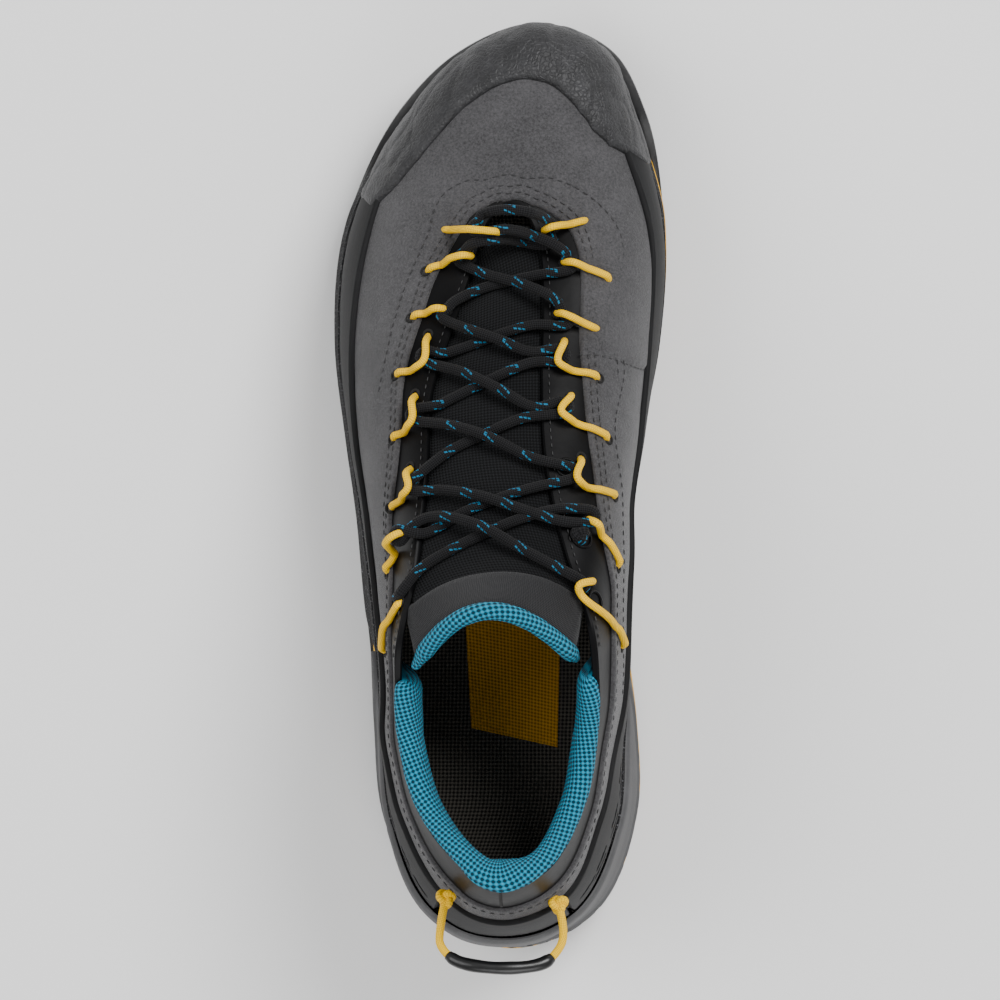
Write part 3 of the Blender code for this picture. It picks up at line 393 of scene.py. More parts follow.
def node(tree: bpy.types.NodeTree, kind: str, settings: Optional[dict] = None,
         links: Optional[dict] = None) -> bpy.types.Node:
    """Adds a node.

    Args:
        tree: the tree it goes into.
        kind: its type name.
        settings: values for its inputs, by name or number, or for its own properties.
        links: output sockets for its inputs, by name or number.

    Returns:
        The node.
    """
    made = tree.nodes.new(kind)
    for name, value in (settings or {}).items():
        if isinstance(name, str) and hasattr(made, name):
            setattr(made, name, value)
        else:
            made.inputs[name].default_value = value
    for name, socket in (links or {}).items():
        tree.links.new(socket, made.inputs[name])
    return made


class Finish:
    """A material made from nodes. Each kind of finish fills in its own tree."""

    name = "finish"
    _made: Optional[bpy.types.Material] = None

    def material(self) -> bpy.types.Material:
        """The material, made the first time it is asked for."""
        if self._made is None:
            self._made = bpy.data.materials.new(self.name)
            self._made.use_nodes = True
            tree = self._made.node_tree
            self.dress(tree, tree.nodes["Principled BSDF"])
        return self._made

    def dress(self, tree: bpy.types.NodeTree, shader: bpy.types.Node) -> None:
        """Adds the finish's own nodes."""
        raise NotImplementedError


def two_tone(tree: bpy.types.NodeTree, factor: bpy.types.NodeSocket, dark: str, light: str,
             low: float = 0.35, high: float = 0.65) -> bpy.types.NodeSocket:
    """A colour that runs between two hex colours as a factor rises."""
    ramp = node(tree, "ShaderNodeValToRGB", links={0: factor})
    ramp.color_ramp.elements[0].position, ramp.color_ramp.elements[1].position = low, high
    ramp.color_ramp.elements[0].color, ramp.color_ramp.elements[1].color = linear(dark), linear(light)
    return ramp.outputs["Color"]


def tint(tree: bpy.types.NodeTree, factor: bpy.types.NodeSocket, colour: bpy.types.NodeSocket,
         hex_colour: str) -> bpy.types.NodeSocket:
    """A colour that turns to a hex colour where a factor is 1."""
    mixed = node(tree, "ShaderNodeMix", {"data_type": "RGBA", 7: linear(hex_colour)}, {0: factor, 6: colour})
    return mixed.outputs[2]


def maths(tree: bpy.types.NodeTree, operation: str,
          *values: float | bpy.types.NodeSocket) -> bpy.types.NodeSocket:
    """The result of an operation on sockets and plain numbers, in their order."""
    made = node(tree, "ShaderNodeMath", {"operation": operation})
    for place, value in enumerate(values):
        if isinstance(value, bpy.types.NodeSocket):
            tree.links.new(value, made.inputs[place])
        else:
            made.inputs[place].default_value = value
    return made.outputs[0]


def piece_noise(tree: bpy.types.NodeTree, size: float, detail: float,
                roughness: float = 0.5) -> bpy.types.NodeSocket:
    """Noise that is fixed to the piece, with cells of a size in mm."""
    where = node(tree, "ShaderNodeTexCoord").outputs["Object"]
    settings = {"Scale": per_mm(size), "Detail": detail, "Roughness": roughness}
    return node(tree, "ShaderNodeTexNoise", settings, {"Vector": where}).outputs["Fac"]


def piece_lengths(tree: bpy.types.NodeTree) -> bpy.types.NodeSocket:
    """The lengths along and across the piece, in metres."""
    return node(tree, "ShaderNodeUVMap", {"uv_map": "lengths"}).outputs["UV"]


def remapped(tree: bpy.types.NodeTree, value: bpy.types.NodeSocket, **limits: float) -> bpy.types.NodeSocket:
    """A value taken from one span to another; from_max is the socket called From Max, and so on."""
    settings = {name.replace("_", " ").title(): limit for name, limit in limits.items()}
    return node(tree, "ShaderNodeMapRange", settings, {"Value": value}).outputs["Result"]


def cover(tree: bpy.types.NodeTree, shader: bpy.types.Node, colour: bpy.types.NodeSocket,
          height: bpy.types.NodeSocket, strength: float, depth: float) -> None:
    """Gives a shader its colour, and bumps from a height with a depth in mm."""
    bump = node(tree, "ShaderNodeBump", {"Strength": strength, "Distance": depth * MM}, {"Height": height})
    tree.links.new(colour, shader.inputs["Base Color"])
    tree.links.new(bump.outputs["Normal"], shader.inputs["Normal"])


def set_sockets(shader: bpy.types.Node, values: dict) -> None:
    """Sets plain values on a shader's sockets."""
    for name, value in values.items():
        shader.inputs[name].default_value = value


class Suede(Finish):
    """Split leather, brushed: a short nap that lies in soft lighter and darker patches."""

    name = "brushed_suede"

    def dress(self, tree: bpy.types.NodeTree, shader: bpy.types.Node) -> None:
        """Patches of nap about 14 mm wide, with fibres of 0.75 mm."""
        patch = piece_noise(tree, 14.0, 4.0, 0.65)
        fibre = piece_noise(tree, 0.75, 5.0, 0.8)
        blend = maths(tree, "MULTIPLY_ADD", fibre, 0.78, maths(tree, "MULTIPLY", patch, 0.22))
        colour = two_tone(tree, blend, "#29292a", "#555456", 0.33, 0.67)
        cover(tree, shader, colour, fibre, 0.6, 0.7)
        set_sockets(shader, {"Roughness": 0.95, "Sheen Weight": 0.2, "Sheen Roughness": 0.45,
                             "Specular IOR Level": 0.15})


class GrainedCap(Finish):
    """Coated leather, embossed: pebbles with fine cracks, and a dull sheen painted as lighter colour on the
    raised parts.
    """

    name = "embossed_leather"

    def dress(self, tree: bpy.types.NodeTree, shader: bpy.types.Node) -> None:
        """Pebbles of 1.5 mm with cracks between them, and creases of 6 mm, painted dark as shade where low
        and light as sheen where high.
        """
        where = node(tree, "ShaderNodeTexCoord").outputs["Object"]
        warp = node(tree, "ShaderNodeTexNoise", {"Scale": per_mm(3.0), "Detail": 3.0}, {"Vector": where})
        mixed = node(tree, "ShaderNodeMix", {"data_type": "VECTOR", 0: 0.0018},
                     {4: where, 5: warp.outputs["Color"]})
        pebble = node(tree, "ShaderNodeTexVoronoi", {"feature": "DISTANCE_TO_EDGE", "Scale": per_mm(1.5)},
                      {"Vector": mixed.outputs[1]})
        rise = remapped(tree, pebble.outputs["Distance"], from_max=0.22)
        crease = piece_noise(tree, 6.0, 6.0, 0.7)
        height = maths(tree, "MULTIPLY_ADD", crease, 1.4, rise)
        # The colour follows the creases' height: painted shade in the low parts, painted sheen on the raised
        # parts.
        cover(tree, shader, two_tone(tree, crease, "#171718", "#2e2e30", 0.3, 0.7), height, 0.5, 0.3)
        set_sockets(shader, {"Roughness": 0.5, "Specular IOR Level": 0.35})


class BrushedRubber(Finish):
    """Thin sheet rubber, buffed along its length: fine lines that run round the shoe."""

    name = "buffed_rubber"

    def dress(self, tree: bpy.types.NodeTree, shader: bpy.types.Node) -> None:
        """Lines 0.9 mm apart and 18 mm long, on the piece's own lengths."""
        turned = node(tree, "ShaderNodeMapping", {"Scale": (0.05, 1.0, 1.0)}, {"Vector": piece_lengths(tree)})
        settings = {"Scale": per_mm(0.9), "Detail": 4.0, "Roughness": 0.7}
        along = node(tree, "ShaderNodeTexNoise", settings, {"Vector": turned.outputs["Vector"]})
        lines = along.outputs["Fac"]
        both = maths(tree, "MULTIPLY_ADD", piece_noise(tree, 18.0, 5.0), 0.5, lines)
        tree.links.new(remapped(tree, lines, to_min=0.5, to_max=0.72), shader.inputs["Roughness"])
        cover(tree, shader, two_tone(tree, both, "#0f0f10", "#1f1f20", 0.5, 1.0), lines, 0.25, 0.3)
        set_sockets(shader, {"Specular IOR Level": 0.12})


class SatinFilm(Finish):
    """Pressed plastic film over foam, as on the lace stays and the collar: smooth and satin."""

    name = "pressed_film"

    def dress(self, tree: bpy.types.NodeTree, shader: bpy.types.Node) -> None:
        """A faint orange peel of 2.2 mm, and a tone that changes over 25 mm."""
        colour = two_tone(tree, piece_noise(tree, 25.0, 3.0), "#070708", "#101011")
        cover(tree, shader, colour, piece_noise(tree, 2.2, 2.0), 0.12, 0.3)
        set_sockets(shader, {"Roughness": 0.42, "Specular IOR Level": 0.1})


@dataclass
class Weave(Finish):
    """Threads that cross over and under, in one or two colours, on the piece's own lengths, with painted
    shade in their dips.
    """

    name: str = "plain_weave"
    dark: str = "#0f0f10"
    light: str = "#2b2c2e"
    pitch: float = 1.0
    depth: float = 0.35
    roughness: float = 0.85
    sheen: float = 0.2
    slant: float = DIAGONAL
    glint: Optional[str] = None

    def dress(self, tree: bpy.types.NodeTree, shader: bpy.types.Node) -> None:
        """Bumps in rows, each row half a pitch along from the last; painted shade in the dips, painted
        highlights on the tops, painted glints on some.
        """
        settings = {"Rotation": (0, 0, self.slant), "Scale": (per_mm(self.pitch), per_mm(self.pitch), 1.0)}
        turned = node(tree, "ShaderNodeMapping", settings, {"Vector": piece_lengths(tree)})
        parts = node(tree, "ShaderNodeSeparateXYZ", links={0: turned.outputs["Vector"]})
        waves = [maths(tree, "SINE", maths(tree, "MULTIPLY", parts.outputs[axis], math.tau))
                 for axis in (0, 1)]
        height = remapped(tree, maths(tree, "MULTIPLY", *waves), from_min=-0.7, from_max=0.7)
        # The colour follows the height: painted shade in the dips between threads, painted highlight on their
        # tops.
        colour = two_tone(tree, height, self.dark, self.light, 0.15, 0.8)
        if self.glint:
            # Painted glints on the tops of some bumps.
            chosen = maths(tree, "GREATER_THAN", piece_noise(tree, 1.0, 1.0), 0.64)
            colour = tint(tree, maths(tree, "MULTIPLY", chosen, height), colour, self.glint)
        cover(tree, shader, colour, height, 0.8, self.depth)
        set_sockets(shader, {"Roughness": self.roughness, "Sheen Weight": self.sheen,
                             "Specular IOR Level": 0.15})


@dataclass
class Moulded(Finish):
    """Moulded rubber, foam or plastic: one colour with a fine surface grain and soft scuffs."""

    name: str = "moulded"
    dark: str = "#161617"
    light: str = "#262627"
    roughness: float = 0.5
    grain: float = 0.8
    depth: float = 0.15
    coat: float = 0.0
    scuffed: float = 0.12

    def dress(self, tree: bpy.types.NodeTree, shader: bpy.types.Node) -> None:
        """Grain in mm, and scuffs of 12 mm that change the gloss."""
        scuff = piece_noise(tree, 12.0, 6.0, 0.7)
        gloss = remapped(tree, scuff, to_min=self.roughness - self.scuffed,
                         to_max=self.roughness + self.scuffed)
        tree.links.new(gloss, shader.inputs["Roughness"])
        grain = piece_noise(tree, self.grain, 3.0)
        cover(tree, shader, two_tone(tree, scuff, self.dark, self.light), grain, 0.5, self.depth)
        set_sockets(shader, {"Coat Weight": self.coat, "Coat Roughness": 0.3})


@dataclass
class Braid(Weave):
    """A round braided cord, with short coloured dashes in groups where it has a marker thread."""

    marker: Optional[str] = None
    group: float = 12.5
    dash: float = 1.25
    girth: float = 9.4
    threads: float = 4.0

    def dress(self, tree: bpy.types.NodeTree, shader: bpy.types.Node) -> None:
        """The weave, then groups of three dashes on slanted lines round the cord."""
        super().dress(tree, shader)
        if not self.marker:
            return
        base = shader.inputs["Base Color"].links[0].from_socket
        parts = node(tree, "ShaderNodeSeparateXYZ", links={0: piece_lengths(tree)})
        along, around = parts.outputs[0], parts.outputs[1]
        within = maths(tree, "FRACT", maths(tree, "MULTIPLY", along, per_mm(self.group)))
        step = maths(tree, "FRACT", maths(tree, "MULTIPLY", along, per_mm(self.dash)))
        turn = maths(tree, "MULTIPLY", around, per_mm(self.girth))
        slant = maths(tree, "MULTIPLY_ADD", within, 0.55, turn)
        across = maths(tree, "FRACT", maths(tree, "MULTIPLY", slant, self.threads))
        in_dash = maths(tree, "MULTIPLY", maths(tree, "LESS_THAN", within, 0.3),
                        maths(tree, "LESS_THAN", step, 0.72))
        marked = maths(tree, "MULTIPLY", in_dash, maths(tree, "LESS_THAN", across, 0.24))
        tree.links.new(tint(tree, marked, base, self.marker), shader.inputs["Base Color"])


SUEDE = Suede()
CAP_LEATHER = GrainedCap()
RAND_RUBBER = BrushedRubber()
FILM = SatinFilm()
SOLE_RUBBER = Moulded("sole_rubber", "#111112", "#262627", 0.4, 0.9, 0.12, 0.1)
ACCENT_FOAM = Moulded("accent_foam", "#d79b00", "#efb800", 0.55, 0.7, 0.1)
STABILISER_PLASTIC = Moulded("stabiliser_plastic", "#373738", "#48484a", 0.6, 0.9, 0.3)
SLEEVE_TUBE = Moulded("shrink_tube", "#070708", "#111112", 0.32, 2.0, 0.1)
SLOT_TEAL = Moulded("slot_teal", "#062028", "#0f3d4a", 0.5, 0.6, 0.2)
# Near black: painted shade inside the loops' holes, and the dark heel seam.
HOLE_SHADE_AND_SEAM = Moulded("hole_shade_and_seam", "#050505", "#0a0a0a", 0.9, 0.6, 0.1)
BAND_MESH = Weave("band_mesh", "#020203", "#202022", 1.45, 0.6, 0.6, 0.02, glint="#5c5c5f")
TONGUE_WEAVE = Weave("tongue_weave", "#030304", "#17181a", 1.4, 0.45, 0.8, 0.03)
PAD_FABRIC = Weave("pad_fabric", "#121213", "#2b2b2d", 0.8, 0.2, 0.85, 0.1)
TEAL_KNIT = Weave("teal_knit", "#042a38", "#1a8dad", 2.1, 0.9, 0.8, 0.05, slant=0.6)
BED_FABRIC = Weave("bed_fabric", "#1c1a18", "#66625b", 1.7, 0.3, 0.85, 0.1)
BED_PRINT = Weave("bed_print", "#b37c00", "#f5b300", 1.5, 0.25, 0.7, 0.05)
THREAD = Moulded("sewing_thread", "#1d1d1e", "#303031", 0.75, 0.4, 0.1)
DARK_THREAD = Moulded("dark_thread", "#232324", "#3a3a3b", 0.75, 0.4, 0.1)
LACE_BRAID = Braid("lace_braid", "#040405", "#1b1b1d", 0.95, 0.25, 0.75, 0.04, marker="#18698b")
LOOP_BRAID = Braid("loop_braid", "#d09f00", "#ffcd00", 0.8, 0.12, 0.55, 0.02, slant=0.9)


# Meshes
def write_mesh(name: str, points: Array, faces: list, finish: Finish,
               lengths: Optional[Array] = None, crease: float = 0.7) -> bpy.types.Object:
    """Writes a piece.

    Args:
        name: the piece's name.
        points: corners in mm, in the drawing's frame.
        faces: corner numbers of each face.
        finish: what it is made of.
        lengths: for each corner of each face, its length along and across the piece, in mm.
        crease: edges sharper than this angle stay sharp.

    Returns:
        The object, at the origin, with its place in its mesh.
    """
    data = bpy.data.meshes.new(name)
    data.from_pydata(((points - DRAWN_ORIGIN) * MM).tolist(), [], faces)
    if lengths is not None:
        layer = data.uv_layers.new(name="lengths")
        layer.data.foreach_set("uv", (np.asarray(lengths) * MM).astype(np.float32).ravel())
    data.materials.append(finish.material())
    mesh = bmesh.new()
    mesh.from_mesh(data)
    bmesh.ops.recalc_face_normals(mesh, faces=mesh.faces)
    mesh.to_mesh(data)
    mesh.free()
    data.shade_smooth()
    data.set_sharp_from_angle(angle=crease)
    made = bpy.data.objects.new(name, data)
    bpy.context.scene.collection.objects.link(made)
    return made


def grid_faces(profile: Array, closed: bool, loop: bool) -> tuple[list, Array]:
    """Faces of a grid of corners, and the lengths at each face's corners.

    Args:
        profile: (n, m, 3) points, n along and m across.
        closed: the last line joins the first.
        loop: the last point of each line joins its first.

    Returns:
        The faces, and (k, 4, 2) lengths.
    """
    n, m = profile.shape[:2]
    along = np.linalg.norm(np.roll(profile, -1, axis=0) - profile, axis=2).mean(axis=1)
    u = np.concatenate(([0.0], along.cumsum()))
    across = np.linalg.norm(np.roll(profile, -1, axis=1) - profile, axis=2)
    v = np.concatenate((np.zeros((n, 1)), across.cumsum(axis=1)), axis=1)
    v = np.concatenate((v, v[:1]), axis=0)
    rows = np.arange(n if closed else n - 1)
    cols = np.arange(m if loop else m - 1)
    i, k = (part.ravel() for part in np.meshgrid(rows, cols, indexing="ij"))
    i2, k2 = (i + 1) % n, (k + 1) % m
    faces = np.stack((i * m + k, i2 * m + k, i2 * m + k2, i * m + k2), axis=1)
    corner_u = np.stack((u[i], u[i + 1], u[i + 1], u[i]), axis=1)
    corner_v = np.stack((v[i, k], v[i + 1, k], v[i + 1, k + 1], v[i, k + 1]), axis=1)
    return faces.tolist(), np.stack((corner_u, corner_v), axis=2)


def shell(name: str, outer: Array, inner: Array, finish: Finish, closed: bool = False,
          crease: float = 0.7) -> bpy.types.Object:
    """A wall between two grids of points, closed at its edges."""
    profile = np.concatenate((outer, inner[:, ::-1]), axis=1)
    n, m = profile.shape[:2]
    faces, lengths = grid_faces(profile, closed, True)
    lengths = list(lengths.reshape(-1, 2))
    if not closed:
        half = m // 2
        for line in (0, n - 1):
            for k in range(half - 1):
                quad = [line * m + k, line * m + k + 1, line * m + m - 2 - k, line * m + m - 1 - k]
                faces.append(quad)
                lengths += [(0.0, 0.0)] * 4
    return write_mesh(name, profile.reshape(-1, 3), faces, finish, np.array(lengths), crease)


def tube_rings(route: Array, radii: Array, sides: int, flat: float = 1.0) -> Array:
    """Rings of points round a route; the first point of each lies to its side, the next turn up."""
    ways = unit(np.gradient(route, axis=0))
    upward = UPWARDS if abs(ways[0][2]) < 0.9 else np.array((0.0, 1.0, 0.0))
    rings = []
    turns = 2 * np.pi * np.arange(sides) / sides
    for point, way, radius in zip(route, ways, radii):
        upward = unit(upward - way * np.dot(upward, way))
        sideways = np.cross(way, upward)
        rings.append([point + radius * (np.cos(a) * sideways + flat * np.sin(a) * upward) for a in turns])
    return np.array(rings)


def tube(name: str, route: Array, radius: float | Array, finish: Finish, sides: int = 12,
         flat: float = 1.0) -> bpy.types.Object:
    """A cord along a route, with rounded ends."""
    radii = np.broadcast_to(radius, len(route)).astype(float).copy()
    start = [route[0] - unit(route[1] - route[0]) * radii[0] * s for s in (0.95, 0.7)]
    stop = [route[-1] + unit(route[-1] - route[-2]) * radii[-1] * s for s in (0.7, 0.95)]
    route = np.concatenate((start, route, stop))
    radii = np.concatenate((radii[:1] * (0.3, 0.72), radii, radii[-1:] * (0.72, 0.3)))
    rings = tube_rings(route, radii, sides, flat)
    faces, lengths = grid_faces(rings, False, True)
    lengths = list(lengths.reshape(-1, 2))
    for line in (0, len(rings) - 1):
        faces.append([line * sides + k for k in range(sides)])
        lengths += [(0.0, 0.0)] * sides
    return write_mesh(name, rings.reshape(-1, 3), faces, finish, np.array(lengths), 1.2)


def join(name: str, made: Sequence[bpy.types.Object]) -> bpy.types.Object:
    """Joins objects into one piece."""
    with bpy.context.temp_override(active_object=made[0], selected_editable_objects=list(made)):
        bpy.ops.object.join()
    made[0].name = name
    return made[0]


def ladder(length: float, edge: float, step: float) -> Array:
    """Shares from 0 to 1, close together within an edge at both ends."""
    near = np.array((0.0, 0.06, 0.2, 0.45, 1.0)) * edge / length
    middle = np.linspace(near[-1], 1 - near[-1], max(int(length / step), 2) + 1)
    return np.concatenate((near[:-1], middle, 1 - near[:-1][::-1]))


@dataclass
class Panel:
    """A sheet laid on the last, with rounded edges."""

    name: str
    places: Array
    low: Array
    high: Array
    base: float
    thickness: float
    finish: Finish
    edge: float = 1.0
    step: float = 1.6
    closed: bool = False
    relief: Optional[Callable[[Array], Array]] = None

    def build(self) -> bpy.types.Object:
        """Lays the sheet and returns its piece."""
        ends = np.stack((self.low, self.high), axis=1)
        width = ends[:, 1:] - ends[:, :1]
        span = LAST.skin(self.places, ends[:, :1] + width * np.linspace(0, 1, 9), 0.0)
        length = np.linalg.norm(np.diff(span, axis=1), axis=2).sum(axis=1)
        t = ladder(float(np.median(length)), self.edge, self.step)
        shares = ends[:, :1] + width * t
        near = np.minimum(t, 1 - t)[None, :] * length[:, None]
        if not self.closed:
            run = run_along(span[:, 4])
            near = np.minimum(near, np.minimum(run, run[-1] - run)[:, None])
        fall = 1 - np.clip(near / self.edge, 0, 1)
        rise = self.thickness * np.sqrt(np.clip(1 - fall * fall, 0.02, 1))
        points = LAST.skin(self.places, shares, 0.0)
        if self.relief:
            rise = rise + self.relief(points) * np.clip(near / self.edge, 0, 1)
        outer = LAST.skin(self.places, shares, self.base + rise)
        inner = LAST.skin(self.places, shares, self.base)
        return shell(self.name, outer, inner, self.finish, self.closed)


def rough(points: Array, size: float, seed: float = 0.0) -> Array:
    """Smooth noise from -1 to 1 at points, with bumps about a size in mm apart."""
    flat = points.reshape(-1, 3) / size + seed
    return np.array([noise.noise(Vector(p)) for p in flat]).reshape(points.shape[:-1])


@dataclass(frozen=True)
class SeamKind:
    """One kind of seam: from stitch to stitch, a stitch's length and thickness, and its thread."""

    pitch: float
    stitch: float
    thread: float
    finish: Finish


EDGE_SEAM = SeamKind(2.9, 1.9, 0.45, THREAD)
FINE_SEAM = SeamKind(2.6, 1.7, 0.4, DARK_THREAD)


class Stitcher:
    """A Geometry Nodes tree that sews a run of stitches along lines."""

    def __init__(self) -> None:
        """Builds the tree, with its sizes as named inputs."""
        tree = bpy.data.node_groups.new("stitch_run", "GeometryNodeTree")
        tree.interface.new_socket("Geometry", in_out="INPUT", socket_type="NodeSocketGeometry")
        self.inputs = {}
        for name, kind in (("Pitch", "NodeSocketFloat"), ("Stitch", "NodeSocketFloat"),
                           ("Thread", "NodeSocketFloat"), ("Thread material", "NodeSocketMaterial")):
            socket = tree.interface.new_socket(name, in_out="INPUT", socket_type=kind)
            self.inputs[name] = socket.identifier
        tree.interface.new_socket("Geometry", in_out="OUTPUT", socket_type="NodeSocketGeometry")
        given = node(tree, "NodeGroupInput").outputs
        line = node(tree, "GeometryNodeMeshToCurve", links={"Mesh": given["Geometry"]})
        marks = node(tree, "GeometryNodeResampleCurve", {"mode": "LENGTH"},
                     {"Curve": line.outputs["Curve"], "Length": given["Pitch"]})
        way = node(tree, "GeometryNodeInputTangent")
        turn = node(tree, "FunctionNodeAlignRotationToVector", {"axis": "Z"},
                    {"Vector": way.outputs["Tangent"]})
        thread = node(tree, "GeometryNodeMeshIcoSphere", {"Radius": 0.5, "Subdivisions": 1})
        size = node(tree, "ShaderNodeCombineXYZ", links={
            0: given["Thread"], 1: given["Thread"], 2: given["Stitch"]})
        sewn = node(tree, "GeometryNodeInstanceOnPoints", links={
            "Points": marks.outputs["Curve"], "Instance": thread.outputs["Mesh"],
            "Rotation": turn.outputs["Rotation"], "Scale": size.outputs["Vector"]})
        real = node(tree, "GeometryNodeRealizeInstances", links={"Geometry": sewn.outputs["Instances"]})
        smooth = node(tree, "GeometryNodeSetShadeSmooth", links={"Geometry": real.outputs["Geometry"]})
        dressed = node(tree, "GeometryNodeSetMaterial", links={
            "Geometry": smooth.outputs["Geometry"], "Material": given["Thread material"]})
        node(tree, "NodeGroupOutput", links={0: dressed.outputs["Geometry"]})
        self.tree = tree

    def sew(self, name: str, lines: Sequence[Array], seam: SeamKind) -> bpy.types.Object:
        """Sews along lines of points in mm.

        Args:
            name: the piece's name.
            lines: routes, each (k, 3).
            seam: the stitches' sizes and thread.

        Returns:
            The stitches, as one plain mesh.
        """
        points, edges = [], []
        for route in lines:
            start = len(points)
            points += ((route - DRAWN_ORIGIN) * MM).tolist()
            edges += [(start + i, start + i + 1) for i in range(len(route) - 1)]
        data = bpy.data.meshes.new(name + "_lines")
        data.from_pydata(points, edges, [])
        line = bpy.data.objects.new(name, data)
        bpy.context.scene.collection.objects.link(line)
        modifier = line.modifiers.new("stitches", "NODES")
        modifier.node_group = self.tree
        modifier[self.inputs["Pitch"]] = seam.pitch * MM
        modifier[self.inputs["Stitch"]] = seam.stitch * MM
        modifier[self.inputs["Thread"]] = seam.thread * MM
        modifier[self.inputs["Thread material"]] = seam.finish.material()
        graph = bpy.context.evaluated_depsgraph_get()
        graph.update()
        made = bpy.data.meshes.new_from_object(line.evaluated_get(graph), depsgraph=graph)
        line.modifiers.remove(modifier)
        line.data = made
        return line


def trail(points: Sequence[tuple[float, float]], offset: float, times: int = 8) -> Array:
    """A line on the last through places and shares."""
    route = smooth_route(points, times)
    return LAST.line(route[:, 0], route[:, 1], offset)


def pixels_on_last(points: Sequence[tuple[float, float]]) -> list[tuple[float, float]]:
    """Places and shares under pixels of the top view."""
    return [found_from_pixel(*point) for point in points]


def side_on_last(points: Sequence[tuple[float, float]], side: Side) -> list[tuple[float, float]]:
    """Places and shares at (y, z) positions seen from one side."""
    return [LAST.find_from_side(y, z, side) for y, z in points]


def show(piece: bpy.types.Object, slot: str, *nodes: str) -> bpy.types.Object:
    """Lets a piece ride on the shoe, and hides the nodes it stands for."""
    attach(piece, "root")
    if nodes:
        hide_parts(*nodes)
    log.info("%s: %d faces", piece.name, len(piece.data.polygons))
    return piece


# The sole
LUG_SIDES = 8
LUG_LEVELS = 4


def at_toe(places: Array) -> Array:
    """1 where the toe guard stands, 0 behind it."""
    return smooth_step((2.9 - np.abs(np.asarray(places) % ROWS_ROUND - TOE_ROW)) / 0.7)


def at_heel(places: Array) -> Array:
    """1 where the heel stabiliser wraps the band, 0 in front of it."""
    places = np.asarray(places) % ROWS_ROUND
    return smooth_step((5.7 - np.minimum(places, ROWS_ROUND - places)) / 1.3)


def ring_faces(levels: int, count: int, first: int = 0) -> list[tuple[int, ...]]:
    """Faces between closed rings of points, numbered ring by ring from a first point."""
    faces = []
    for level in range(levels - 1):
        for i in range(count):
            a, b = first + level * count + i, first + level * count + (i + 1) % count
            faces.append((a, b, b + count, a + count))
    return faces


